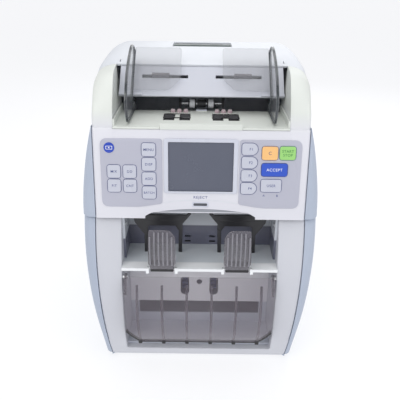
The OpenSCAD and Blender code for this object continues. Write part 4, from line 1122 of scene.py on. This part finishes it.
panelSet = {
    "overlayThick": 0.8 * mm,
    "capTop": 2.0 * mm,
    "capFoot": -3.1 * mm,
    "ringWide": 0.6 * mm,
    "ringGap": 0.1 * mm,
    "badge": (-111.75 * mm, 87.6 * mm, 6.5 * mm),
}
keyFinish = {"clear_key": ("keyOrange", "key_orange"), "start_stop_key": ("keyGreen", "key_green"),
             "accept_key": ("keyBlue", "key_blue")}
keyWords = {
    # words on the cap, height of the letters in millimetres, ink
    "menu_key": (["MENU"], 4.4, "markBlue"), "disp_key": (["DISP"], 4.4, "markBlue"),
    "add_key": (["ADD"], 4.4, "markBlue"), "batch_key": (["BATCH"], 3.9, "markBlue"),
    "mix_key": (["MIX"], 4.4, "markBlue"), "dd_key": (["DD"], 4.4, "markBlue"),
    "fit_key": (["FIT"], 4.4, "markBlue"), "count_key": (["CNT"], 4.4, "markBlue"),
    "f1_key": (["F1"], 4.6, "markBlue"), "f2_key": (["F2"], 4.6, "markBlue"),
    "f3_key": (["F3"], 4.6, "markBlue"), "f4_key": (["F4"], 4.6, "markBlue"),
    "clear_key": (["C"], 5.6, "markBlue"), "start_stop_key": (["START", "STOP"], 4.6, "markGreen"),
    "accept_key": (["ACCEPT"], 5.0, "markWhite"), "user_key": (["USER"], 4.6, "markBlue"),
}


def lettering(name, words, size, x, v, out, material, body, stretch=1.0):
    # flat raised letters, one line for each word
    pieces = []
    for row, word in enumerate(words):
        curve = bpy.data.curves.new(name, "FONT")
        curve.body = word
        curve.size = size
        curve.align_x = "CENTER"
        curve.space_character = 1.12
        curve.align_y = "CENTER"
        curve.extrude = 0.03 * mm
        curve.offset = 0.00002
        holder = bpy.data.objects.new(name, curve)
        scene.collection.objects.link(holder)
        graph = bpy.context.evaluated_depsgraph_get()
        mesh = bpy.data.meshes.new_from_object(holder.evaluated_get(graph))
        bpy.data.objects.remove(holder)
        drop = ((len(words) - 1) / 2 - row) * size * 1.02
        spot = Matrix.Translation((x, v + drop, out))
        mesh.transform(panelFrame @ spot @ Matrix.Scale(stretch, 4, (1, 0, 0)))
        piece = bpy.data.objects.new(name, mesh)
        link(piece, material, body)
        pieces.append(piece)
    return joined(name, pieces) if len(pieces) > 1 else pieces[0]


def makeOverlay(sign):
    x0, x1 = sorted((sign * 47.5 * mm, sign * 122.8 * mm))
    low = [(sign * 47.5 * mm, 17 * mm), (sign * 75 * mm, 12.4 * mm), (sign * 122.8 * mm, 12.4 * mm),
           (sign * 122.8 * mm, 99 * mm), (sign * 47.5 * mm, 99 * mm)]
    outline = roundCorners(low, [3 * mm, 8 * mm, 9 * mm, 9 * mm, 3 * mm], 6)
    holes = [keyOutline(name, 0.3 * mm, 3.4 * mm) for name in keyNames if x0 < keyPlans[name][0] < x1]
    thick = panelSet["overlayThick"]
    place = panelFrame @ Matrix.Translation((0, 0, thick / 2))
    side = "Left" if sign < 0 else "Right"
    return plate("overlay" + side, [outline] + holes, thick, 0.25 * mm, place, "overlayGrey",
                 "upper_unit", ("keypad_" + side.lower(),))


def makeKey(name):
    s = panelSet
    finishName, slotName = keyFinish.get(name, ("keyPale", "key_pale"))
    deep = s["capTop"] - s["capFoot"]
    middle = (s["capTop"] + s["capFoot"]) / 2
    body = bodyOfNode[name]
    cap = plate(name + "_cap", [keyOutline(name, 0.0, 3.2 * mm)], deep, 0.8 * mm,
                panelFrame @ Matrix.Translation((0, 0, middle)), finishName, body, steps=3)
    flange = plate(name + "_flange", [keyOutline(name, 1.2 * mm, 1.0 * mm)], 1.0 * mm, 0.15 * mm,
                   panelFrame @ Matrix.Translation((0, 0, s["capFoot"] - 0.5 * mm)), finishName, body)
    whole = joined(name + "Piece", [cap, flange])
    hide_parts(name)
    words, size, ink = keyWords[name]
    x0, x1, v0, v1 = keyPlans[name]
    shift = 1.6 * mm if name in roundEnded else 0.0
    lettering(name + "Letters", words, size * mm, (x0 + x1) / 2 + shift, (v0 + v1) / 2,
              s["capTop"] + 0.02 * mm, ink, body, 0.98)


def makeKeyRings():
    s = panelSet
    rings = []
    for name in keyNames:
        outline = keyOutline(name, s["ringGap"] + s["ringWide"], 4.4 * mm)
        hole = keyOutline(name, s["ringGap"], 3.7 * mm)
        rings.append(plate(name + "Ring", [outline, hole], 0.12 * mm, 0.03 * mm,
                           panelFrame @ Matrix.Translation((0, 0, s["overlayThick"] + 0.05 * mm)),
                           "keyRim", "upper_unit"))
    return joined("keyRings", rings)


def makeBadge():
    x, v, radius = panelSet["badge"]
    top = panelSet["overlayThick"]
    disc = plate("badgeDisc", [circlePoints(x, v, radius, 48)], 0.6 * mm, 0.2 * mm,
                 panelFrame @ Matrix.Translation((0, 0, top + 0.28 * mm)), "badgeBlue", "upper_unit")
    frameRing = [roundRect(x - 4 * mm, x + 4 * mm, v - 2.2 * mm, v + 2.2 * mm, 0.7 * mm),
                 roundRect(x - 3.4 * mm, x + 3.4 * mm, v - 1.6 * mm, v + 1.6 * mm, 0.4 * mm)]
    note = plate("badgeNote", frameRing, 0.1 * mm, 0.02 * mm,
                 panelFrame @ Matrix.Translation((0, 0, top + 0.6 * mm)), "markWhite", "upper_unit")
    spot = plate("badgeSpot", [circlePoints(x, v, 0.9 * mm, 20)], 0.1 * mm, 0.02 * mm,
                 panelFrame @ Matrix.Translation((0, 0, top + 0.6 * mm)), "markWhite", "upper_unit")
    joined("badgeGlyph", [note, spot])
    return disc


for sign in (-1, 1):
    makeOverlay(sign)
for keyName in keyNames:
    makeKey(keyName)
makeKeyRings()
makeBadge()

legendSet = {
    # name: word, size, x, height up the panel, height out of it, slot, stretch
    "rejectLetters": ("REJECT", 4.6, 0, 25.4, 0.02, "white_case", 1.12),
    "lampLetterA": ("A", 3.8, 78.7, 29, 0.83, "overlay_grey", 1.0),
    "lampLetterB": ("B", 3.8, 95.4, 29, 0.83, "overlay_grey", 1.0),
}
for legend, (word, size, x, v, out, slotName, stretch) in legendSet.items():
    lettering(legend, [word], size * mm, x * mm, v * mm, out * mm, "markBlue", "upper_unit",
              stretch)

bezelSet = {
    # low x, high x, low and high on the panel, corner radius
    "frame": (-45.3 * mm, 45.3 * mm, 31 * mm, 99.5 * mm, 3.5 * mm),
    "window": (-40 * mm, 40 * mm, 33.4 * mm, 95.3 * mm, 1.2 * mm),
    "lampFrame": (-10.2 * mm, 10.2 * mm, 12.9 * mm, 19.5 * mm, 2 * mm),
    "lampWindow": (-8.6 * mm, 8.6 * mm, 14.5 * mm, 17.9 * mm, 1.2 * mm),
}
plate("bezelFrame", [roundRect(*bezelSet["frame"]), roundRect(*bezelSet["window"])], 1.8 * mm, 0.7 * mm,
      panelFrame @ Matrix.Translation((0, 0, 0.9 * mm)), "bezelGrey", "upper_unit",
      ("display_bezel",), steps=3)
plate("lampBezel", [roundRect(*bezelSet["lampFrame"]), roundRect(*bezelSet["lampWindow"])], 0.7 * mm,
      0.25 * mm, panelFrame @ Matrix.Translation((0, 0, 0.3 * mm)), "bezelGrey", "upper_unit")

archSet = {"radius": 354, "top": 10.0, "half": 52, "foot": 6.0, "creaseRadius": 258, "creaseTop": 22.3,
           "creaseHalf": 46}


def arcPoints(radius, top, reach, step):
    # an arch in millimetres, from +reach to -reach
    count = int(2 * reach / step)
    xs = [reach - 2 * reach * k / count for k in range(count + 1)]
    return [(x, top - radius + math.sqrt(radius ** 2 - x * x)) for x in xs]


def makeArch():
    s = archSet
    arch = arcPoints(s["radius"], s["top"], s["half"], 4)
    outline = [(x * mm, v * mm) for x, v in arch + [(-s["half"], s["foot"]), (s["half"], s["foot"])]]
    plate("archInsert", [outline], 0.6 * mm, 0.05 * mm,
          panelFrame @ Matrix.Translation((0, 0, -1.2 * mm)), "archGrey", "upper_unit")
    upper = arcPoints(s["creaseRadius"], s["creaseTop"], s["creaseHalf"], 4)
    lower = [(x, v - 0.7) for x, v in upper[::-1]]
    plate("archCrease", [[(x * mm, v * mm) for x, v in upper + lower]], 0.5 * mm, 0.15 * mm,
          panelFrame @ Matrix.Translation((0, 0, 0.05 * mm)), "topWhite", "upper_unit")


makeArch()
print("control panel made")

# smoked stacker cover

doorSet = {
    "centre": (-73 * mm, 93 * mm),
    "radius": 103 * mm,
    "skin": 2.6 * mm,
    "outline": [(-98, 143.4), (-98, 58), (-81, 30.2), (81, 30.2), (98, 58), (98, 143.4)],
    "ribs": (-81.25, -48.75, -16.25, 16.25, 48.75, 81.25),
    "pin": (-155.5 * mm, 138.6 * mm),
}


def wrapped(mesh, centre, radius):
    # bends a flat upright plate onto an arc: height stays, depth becomes distance from the arc's axis
    cy, cz = centre
    for vertex in mesh.vertices:
        x, y, z = vertex.co
        angle = math.asin(max(-1.0, min(1.0, (z - cz) / radius)))
        r = radius - y
        vertex.co = (x, cy - r * math.cos(angle), cz + r * math.sin(angle))
    return mesh


def arcPlate(name, outlines, depth, thick, bevel, centre, radius, heights, material, body,
             replaces=()):
    mesh = plateMesh(outlines, thick, bevel)
    mesh.transform(Matrix.Rotation(math.pi / 2, 4, "X"))
    mesh.transform(Matrix.Translation((0, depth + thick / 2, 0)))
    sliced(mesh, heights)
    mesh = wrapped(mesh, centre, radius)
    mesh.name = name
    return link(bpy.data.objects.new(name, mesh), material, body, replaces)


def sideOutline(points, corner):
    return roundCorners([(y * mm, z * mm) for y, z in points], corner * mm)


def sidePlate(name, outlines, x, thick, bevel, material, body, replaces=()):
    # a plate that stands in the YZ plane with its middle at x
    place = Matrix.Translation((x, 0, 0)) @ Matrix(((0, 0, 1, 0), (1, 0, 0, 0), (0, 1, 0, 0),
                                                    (0, 0, 0, 1)))
    return plate(name, outlines, thick, bevel, place, material, body, replaces)


def makeDoor():
    s = doorSet
    outline = [(x * mm, z * mm) for x, z in s["outline"]]
    heights = [z * mm for z in range(34, 143, 5)]
    sheet = roundCorners(outline, [2 * mm, 5 * mm, 5 * mm, 5 * mm, 5 * mm, 2 * mm])
    skin = arcPlate("doorSkin", [sheet], 0.0, s["skin"], 0.9 * mm, s["centre"], s["radius"], heights,
                    "smokeCover", "stacker_door", ("stacker_cover",))
    ribs = []
    for x in s["ribs"]:
        strip = roundRect((x - 1.6) * mm, (x + 1.6) * mm, 33 * mm, 133 * mm, 1 * mm)
        ribs.append(arcPlate("rib", [strip], 2.7 * mm, 3.4 * mm, 0.5 * mm, s["centre"], s["radius"],
                             heights, "smokeRib", "stacker_door"))
    joined("doorRibs", ribs)
    inner = [(x * mm, z * mm) for x, z in [(-98, 62), (-98, 58), (-81, 30.2), (81, 30.2), (98, 58),
                                           (98, 62)]]
    band = inner + [(x * mm, z * mm) for x, z in [(95.2, 62), (95.2, 58.8), (79.4, 33.4), (-79.4, 33.4),
                                                  (-95.2, 58.8), (-95.2, 62)]]
    arcPlate("doorTrim", [roundCorners(band, 0.8 * mm)], -0.35 * mm, 3.3 * mm, 0.5 * mm, s["centre"],
             s["radius"], heights, "trimBlack", "stacker_door")
    stops = []
    for x in s["ribs"]:
        a = math.asin((30.6 * mm - s["centre"][1]) / s["radius"])
        r = s["radius"] - 0.4 * mm
        y, z = s["centre"][0] - r * math.cos(a), s["centre"][1] + r * math.sin(a)
        profile = [(-2.6 * mm, 2.0 * mm), (-1.9 * mm, 2.9 * mm), (1.9 * mm, 2.9 * mm),
                   (2.6 * mm, 2.0 * mm)]
        place = Matrix.Translation((x * mm, y, z))
        stops.append(lathe("stop", profile, place, "trimBlack", "stacker_door", count=20))
    joined("doorStops", stops)
    py, pz = s["pin"]
    lug = [(py / mm + 4.8 * math.cos(a), pz / mm + 4.8 * math.sin(a))
           for a in [math.radians(d) for d in range(-45, 181, 15)]]
    lug += [(py / mm - 8, pz / mm + 2), (py / mm - 14, pz / mm - 20), (py / mm - 8, pz / mm - 20)]
    for sign in (-1, 1):
        hole = [(y * mm, z * mm) for y, z in circlePoints(py / mm, pz / mm, 2.55, 24)]
        sidePlate("doorLug" + ("Right" if sign > 0 else "Left"), [sideOutline(lug, 0.0), hole],
                  sign * 96.5 * mm, 3 * mm, 0.5 * mm, "smokeDark", "stacker_door")
    return skin


makeDoor()
print("stacker cover made")

# reject stoppers

stopperSet = {
    "pin": (-157.5, 153.0),
    "tray": 154.6,
    "middle": 48.5,
    "half": 17.75,
    "height": 58.0,
    "radius": 90.0,
    "hub": (33.45, 63.55),
}


def makeStopper(sign):
    s = stopperSet
    py, pz = s["pin"]
    rise = s["height"] - 1
    centre = ((py + math.sqrt(s["radius"] ** 2 - rise ** 2 / 4) - 4) * mm, (pz + rise / 2) * mm)
    radius = s["radius"] * mm
    x0, x1 = s["middle"] - s["half"], s["middle"] + s["half"]
    h0, h1 = s["hub"]
    top = pz + s["height"]
    outline = [(x0, s["tray"] + 9), (x0, top - 9), (x0 + 7, top - 0.2), (x1 - 2, top - 0.2),
               (x1 - 0.6, s["tray"] + 9), (h1, s["tray"] + 5), (h1, pz + 1), (h0, pz + 1),
               (h0, s["tray"] + 5)]
    corners = [2, 3, 3, 2, 2, 2, 0, 0, 2]
    heights = [z * mm for z in range(156, 210, 4)]
    body = "stopper_right" if sign > 0 else "stopper_left"
    side = "Right" if sign > 0 else "Left"
    flipped = [(sign * x * mm, z * mm) for x, z in outline]
    arcPlate("stopperPlate" + side, [roundCorners(flipped, [c * mm for c in corners])], 0.0, 2.6 * mm,
             0.8 * mm, centre, radius, heights, "smokeDark", body,
             ("reject_stopper_" + side.lower(),))
    ribs = []
    for k in range(6):
        x = x0 + 4.5 + 5.5 * k
        low, high = sorted((sign * (x - 1.1) * mm, sign * (x + 1.1) * mm))
        strip = roundRect(low, high, 162 * mm, (top - (2.5 if 0 < k < 5 else 8)) * mm, 1.0 * mm)
        ribs.append(arcPlate("rib", [strip], -1.9 * mm, 2.2 * mm, 0.6 * mm, centre, radius, heights,
                             "smokeGrey", body))
    joined("stopperRibs" + side, ribs)
    profile = [(h0 * mm, 3.3 * mm), ((h0 + 0.8) * mm, 4.2 * mm), ((h1 - 0.8) * mm, 4.2 * mm),
               (h1 * mm, 3.3 * mm)]
    place = Matrix.Translation((0, py * mm, pz * mm)) @ Matrix.Scale(sign, 4, (1, 0, 0))
    hub = lathe("stopperHub" + side, profile, place, "trimBlack", body, count=32)
    web = [(py - 4, pz), (py + 4, pz), (py + 1, pz + 12), (py - 6.3, pz + 12)]
    block = sidePlate("web", [sideOutline(web, 0.8)], sign * (h0 + h1) / 2 * mm, (h1 - h0) * mm, 0.8 * mm,
                      "trimBlack", body)
    joined("stopperHub" + side, [hub, block])


for sign in (-1, 1):
    makeStopper(sign)
print("stoppers made")

# fork aprons

apronSet = {"outline": [(14.5, 211), (26.4, 199.3), (75.6, 199.3), (84, 207.6), (86.4, 211)],
            "y": (-118.6, -115.6)}


def makeApron(sign):
    # the blank web over each fork's cross bar
    s = apronSet
    y0, y1 = s["y"]
    outline = [(sign * x * mm, z * mm) for x, z in s["outline"]]
    place = Matrix.Translation((0, (y0 + y1) / 2 * mm, 0)) @ Matrix.Rotation(math.pi / 2, 4, "X")
    plate("forkApron" + ("Right" if sign > 0 else "Left"), [roundCorners(outline, [0.3 * mm] * 5)],
          (y1 - y0 - 0.4) * mm, 0.3 * mm, place, "blackPlastic", "base")


for sign in (-1, 1):
    makeApron(sign)
print("fork aprons made")

# hopper guides

guideSet = {
    "x": 89.3,
    "thick": 3.0,
    "rim": 1.6,
    "lip": (-67.994, 357.03),
    "low": 336.03,
    "wingRise": 5.0,
    "slot": 29.5,
    "clip": (42.0, 65.0),
}
slopeFrame = Matrix.Translation((0, guideSet["lip"][0] * mm, guideSet["lip"][1] * mm)) @ Matrix((
    (1, 0, 0, 0), (0, half, -half, 0), (0, half, half, 0), (0, 0, 0, 1)))


def slopeBlock(name, x0, x1, s0, s1, n0, n1, corner, bevel, material, body):
    place = slopeFrame @ Matrix.Translation((0, 0, (n0 + n1) / 2 * mm))
    return plate(name, [roundRect(x0 * mm, x1 * mm, s0 * mm, s1 * mm, corner * mm)], (n1 - n0) * mm,
                 bevel * mm, place, material, body)


def darkenRim(obj, axis):
    # the cut edges of clear sheet look dark
    obj.data.materials.append(finish["smokeRim"])
    for face in obj.data.polygons:
        if abs(face.normal[axis]) < 0.9:
            face.material_index = 1


def insetOutline(points, by):
    # the outline moved inwards by a distance
    area = sum(a[0] * b[1] - b[0] * a[1] for a, b in zip(points, points[1:] + points[:1]))
    turn = 1 if area > 0 else -1
    result = []
    for k, (x, y) in enumerate(points):
        before, after = points[k - 1], points[(k + 1) % len(points)]
        along = Vector((after[0] - before[0], after[1] - before[1])).normalized()
        result.append((x - turn * along.y * by, y + turn * along.x * by))
    return result


def makeGuide(sign):
    s = guideSet
    y, z = s["lip"]
    g = s["low"]
    body = "guide_right" if sign > 0 else "guide_left"
    side = "Right" if sign > 0 else "Left"
    profile = [(y - 50, g), (y + 13, g), (y + 13, g + 11), (y - 3, g + 15), (y - 7, g + 20),
               (y - 5, z + 2), (y + 42, z + 49), (y + 35, g + 76), (y + 23, g + 82), (y + 9, g + 81),
               (y - 17, g + 72), (y - 44, g + 56), (y - 60, g + 36), (y - 64, g + 26), (y - 58, g + 9),
               (y - 54, g + 2)]
    corners = [3, 1.5, 1.5, 2, 2, 1, 0.5, 3, 8, 8, 14, 12, 8, 6, 4, 2]
    outer = roundCorners([(a * mm, b * mm) for a, b in profile], [c * mm for c in corners])
    plateObject = sidePlate("guidePlate" + side, [outer], sign * s["x"] * mm, s["thick"] * mm, 0.8 * mm,
                            "smokeClear", body, ("hopper_guide_" + side.lower(),))
    darkenRim(plateObject, 0)
    hole = insetOutline(outer, s["rim"] * mm)
    sidePlate("guideRim" + side, [outer, hole], sign * s["x"] * mm, (s["thick"] + 0.5) * mm, 0.5 * mm,
              "smokeRim", body)
    inner = s["x"] - s["thick"] / 2
    wing = [(inner, 5), (inner, 69), (27, 69), (27, 22), (42.5, 5)]
    flat = roundCorners([(sign * a * mm, b * mm) for a, b in wing],
                        [0.3 * mm, 0.3 * mm, 5 * mm, 6 * mm, 5 * mm])
    place = slopeFrame @ Matrix.Translation((0, 0, (s["wingRise"] + 1.5) * mm))
    plate("guideWing" + side, [flat], 3 * mm, 0.8 * mm, place, "smokeClear", body)
    low, high = sorted((sign * s["clip"][0], sign * s["clip"][1]))
    clip = slopeBlock("guideClip" + side, low, high, s["slot"] - 2, s["slot"] + 2, -8, 5.2, 0.6, 0.4,
                      "smokeDark", body)
    up = -sign
    bar = sorted((s["slot"] - 2 * up, s["slot"] + 10 * up))
    bridge = slopeBlock("bridge", low, high, bar[0], bar[1], -12, -8, 0.4, 0.3, "smokeDark", body)
    rackFoot = s["slot"] + up * 8
    tooth = math.pi
    edge = [(-30, -0.7)]
    for k in range(-9, 21):
        cut0, cut1 = k * tooth - tooth / 2 + 0.45, k * tooth + tooth / 2 - 0.45
        if cut0 > -29.5 and cut1 < s["clip"][1] - 0.3:
            edge += [(cut0, -0.7), (cut0, 1.2), (cut1, 1.2), (cut1, -0.7)]
    edge += [(s["clip"][1], -0.7), (s["clip"][1], 5.5), (-30, 5.5)]
    rackOutline = [(sign * a * mm, (rackFoot + up * b) * mm) for a, b in edge]
    rack = plate("rack", [rackOutline], 4 * mm, 0.15 * mm,
                 slopeFrame @ Matrix.Translation((0, 0, -10 * mm)), "smokeDark", body)
    joined("guideRack" + side, [clip, bridge, rack])


for sign in (-1, 1):
    makeGuide(sign)
print("guides made")

# rollers and small hopper parts

rollerSet = {
    "axis": (-81.694, 319.43),
    "radius": 17.0,
    "rollers": ((-41.2, 12.5), (-21.0, 12.0), (21.0, 12.0), (41.2, 12.5)),
    "halfShaft": 116.0,
}


def makePickupRollers():
    s = rollerSet
    place = Matrix.Translation((0, s["axis"][0] * mm, s["axis"][1] * mm))
    rollers = []
    for middle, width in s["rollers"]:
        # lengthwise flutes round a rubber sleeve, with plain shoulders
        count, rows = 96, []
        for along, scale in ((-0.5, 0.93), (-0.47, 0.97), (-0.4, 1.0), (0.4, 1.0), (0.47, 0.97),
                             (0.5, 0.93)):
            ring = []
            for k in range(count):
                flute = 0.6 if k % 4 in (0, 1) and abs(along) < 0.45 else 0.0
                r = (s["radius"] - 0.05) * scale - flute
                a = 2 * math.pi * k / count
                ring.append(place @ Vector(((middle + along * width) * mm, r * mm * math.cos(a),
                                            r * mm * math.sin(a))))
            rows.append(ring)
        points = [p for row in rows for p in row]
        faces = gridFaces(len(rows), count, closed=True)
        faces += [tuple(range(count))[::-1], tuple((len(rows) - 1) * count + k for k in range(count))]
        rollers.append(meshPiece("roller", points, faces, "rollerRubber", "pickup_rotor"))
    sleeves = joined("pickupSleeves", rollers)
    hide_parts("pickup_rollers")
    reach = s["halfShaft"] * mm
    lathe("pickupShaft", [(-reach, 3.4 * mm), (-reach + 0.6 * mm, 4 * mm), (reach - 0.6 * mm, 4 * mm),
                          (reach, 3.4 * mm)], place, "groundSteel", "pickup_rotor")


makePickupRollers()


def makeFeedRollers():
    # two bright wheels with dark shoulders on either side of a dark hub
    place = Matrix.Translation((0, -44.694 * mm, 342.03 * mm))
    shaft = lathe("feedShaft", [(-26.8 * mm, 2.2 * mm), (-26.5 * mm, 2.5 * mm), (26.5 * mm, 2.5 * mm),
                                (26.8 * mm, 2.2 * mm)], place, "groundSteel", "feed_rotor")
    hub = [(-5.6 * mm, 4.4 * mm), (-5.2 * mm, 5.0 * mm), (5.2 * mm, 5.0 * mm), (5.6 * mm, 4.4 * mm)]
    lathe("feedHub", hub, place, "blackPlastic", "feed_rotor")
    wheels = []
    for low, high in ((-16.0, -9.0), (9.0, 16.0)):
        rim = [(low * mm, 5.8 * mm), ((low + 0.4) * mm, 6.25 * mm), ((low + 2.6) * mm, 6.25 * mm),
               ((low + 2.8) * mm, 5.9 * mm), ((low + 4.2) * mm, 5.9 * mm), ((low + 4.4) * mm, 6.25 * mm),
               ((high - 0.4) * mm, 6.25 * mm), (high * mm, 5.8 * mm)]
        wheels.append(lathe("wheel", rim, place, "wheelWhite", "feed_rotor"))
    joined("feedWheels", wheels)
    shoulders = []
    for low, high in ((-17.6, -16.1), (-8.9, -7.4), (7.4, 8.9), (16.1, 17.6)):
        disc = [(low * mm, 5.2 * mm), ((low + 0.3) * mm, 5.9 * mm), ((high - 0.3) * mm, 5.9 * mm),
                (high * mm, 5.2 * mm)]
        shoulders.append(lathe("shoulder", disc, place, "blackPlastic", "feed_rotor"))
    joined("feedShoulders", shoulders)
    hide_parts("feed_rollers")


makeFeedRollers()


def makeRollerBeds():
    # dark beds round the pickup rollers, and the soft bumps behind them
    beds, bumps = [], []
    for sign in (-1, 1):
        outline = [(13.6, -91), (24, -91), (24, -88.5), (38, -88.5), (38, -91), (48.8, -91),
                   (47.4, -70.5), (14.6, -70.5)]
        outline = roundCorners([(sign * x * mm, y * mm) for x, y in outline], 1 * mm)
        holes = []
        for middle, width in rollerSet["rollers"]:
            if middle * sign > 0:
                holes.append(roundRect((middle - width / 2 - 0.7) * mm, (middle + width / 2 + 0.7) * mm,
                                       -90.2 * mm, -72.2 * mm, 0.6 * mm))
        beds.append(plate("bed", [outline] + holes, 0.9 * mm, 0.3 * mm,
                          Matrix.Translation((0, 0, 334.45 * mm)), "blackPlastic", "upper_unit"))
        for x in (20.5, 29.0, 37.5):
            upright = Matrix.Rotation(-math.pi / 2, 4, "Y")
            place = Matrix.Translation((sign * x * mm, -61.2 * mm, 334 * mm)) @ upright
            profile = [(0.0, 3.2 * mm), (2.6 * mm, 3.1 * mm), (3.8 * mm, 2.4 * mm), (4.5 * mm, 1.2 * mm),
                       (4.7 * mm, 0.3 * mm)]
            bumps.append(lathe("bump", profile, place, "bumpRose", "upper_unit",
                               count=24))
    joined("rollerBeds", beds)
    joined("hopperBumps", bumps)
    flap = roundRect(-7.2 * mm, 7.2 * mm, -56.5 * mm, -50 * mm, 1 * mm)
    plate("sensorFlap", [flap], 1.2 * mm, 0.4 * mm, Matrix.Translation((0, 0, 335.2 * mm)), "bezelGrey",
          "upper_unit")


makeRollerBeds()

# floor and finishes of the solids that stay

floorMesh = bpy.data.meshes.new("floor")
floorMesh.from_pydata([(-14, -8, 0), (14, -8, 0), (14, 20, 0), (-14, 20, 0)], [], [(0, 1, 2, 3)])
floorObject = bpy.data.objects.new("floor", floorMesh)
scene.collection.objects.link(floorObject)
floorMesh.materials.append(finish["floorWhite"])
floorObject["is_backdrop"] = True


def makeFloorFill(sign):
    # closes the strip between the hopper floor and the panel beside the middle lip
    low, high = sorted((sign * 49.9 * mm, sign * 106.6 * mm))
    front, top = floorLow.y, floorHigh.z - 8 * mm
    plate("floorFill" + ("Right" if sign > 0 else "Left"),
          [roundRect(low, high, front + 0.4 * mm, front + 3.9 * mm, 0.5 * mm)], 2.2 * mm, 0.5 * mm,
          Matrix.Translation((0, 0, top - 1.2 * mm)), "hopperWhite", "upper_unit")


for sign in (-1, 1):
    makeFloorFill(sign)

nodeFinish = {
    # node: finish, bevel in millimetres
    "chassis": ("foldedSteel", 0.4),
    "rubber_feet": ("feetRubber", 0.5),
    "rear_cover": ("greyCase", 0.6),
    "stacker_tray": ("stackerBlue", 0.7),
    "reject_tray": ("paleTray", 0.5),
    "reject_backplate": ("pocketGrey", 0.5),
    "reject_guides": ("blackPlastic", 0.7),
    "power_supply": ("foldedSteel", 0.5),
    "main_board": ("boardGreen", 0.2),
    "drive_motor": ("motorBlack", 0.8),
    "drive_belt": ("beltRubber", 0.2),
    "rear_sockets": ("blackPlastic", 0.3),
    "case_screws": ("groundSteel", 0.2),
    "hinge_pins": ("groundSteel", 0.2),
    "power_switch": ("blackPlastic", 0.4),
    "stacker_shaft": ("groundSteel", 0.3),
    "stacker_vanes": ("vaneBlue", 0.25),
    "reject_shaft": ("groundSteel", 0.25),
    "motor_pulley": ("turnedAluminium", 0.4),
    "diverter_gate": ("blackPlastic", 0.3),
    "hopper_floor": ("hopperWhite", 0.5),
    "hopper_backplate": ("plateGrey", 0.4),
    "upper_frame": ("foldedSteel", 0.4),
    "display": ("displayGlass", 0.2),
    "reject_lamp": ("lampDark", 0.4),
    "carry_handle": ("handleGrey", 1.4),
    "guide_pinion": ("pinionWhite", 0.15),
}
for node, (finishName, width) in nodeFinish.items():
    obj = nodes[node]
    obj.data.materials.clear()
    obj.data.materials.append(finish[finishName])
    weld = obj.modifiers.new("weld", "WELD")
    weld.merge_threshold = 0.00001
    flatten = obj.modifiers.new("flatten", "DECIMATE")
    flatten.decimate_type = "DISSOLVE"
    flatten.angle_limit = math.radians(0.5)
    softenEdges(obj, width * mm, 2, 40)
    smooth = obj.modifiers.new("normals", "WEIGHTED_NORMAL")
    smooth.keep_sharp = True
    obj.data.polygons.foreach_set("use_smooth", [True] * len(obj.data.polygons))
    obj.data.set_sharp_from_angle(angle=math.radians(40))
bracketHost = nodes["hopper_backplate"]
bracketHost.data.materials.append(finish["blackPlastic"])
for face in bracketHost.data.polygons:
    # the roller brackets under the sloping plate are black
    across = abs((bracketHost.matrix_world @ face.center).x)
    if 26.5 * mm < across < 30.5 * mm and (bracketHost.matrix_world @ face.center).z < 356 * mm:
        face.material_index = 1
print("finishes set on", len(nodeFinish), "solids")

# names each piece that passes the CAD box by more than the slack
slack = 0.2 * mm
graph = bpy.context.evaluated_depsgraph_get()
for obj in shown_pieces():
    made = obj.evaluated_get(graph)
    corners = [made.matrix_world @ Vector(corner) for corner in made.bound_box]
    low = [min(corner[i] for corner in corners) for i in range(3)]
    high = [max(corner[i] for corner in corners) for i in range(3)]
    if any(low[i] < cadLow[i] - slack or high[i] > cadHigh[i] + slack for i in range(3)):
        print("outside", obj.name, [round(v, 4) for v in low], [round(v, 4) for v in high])
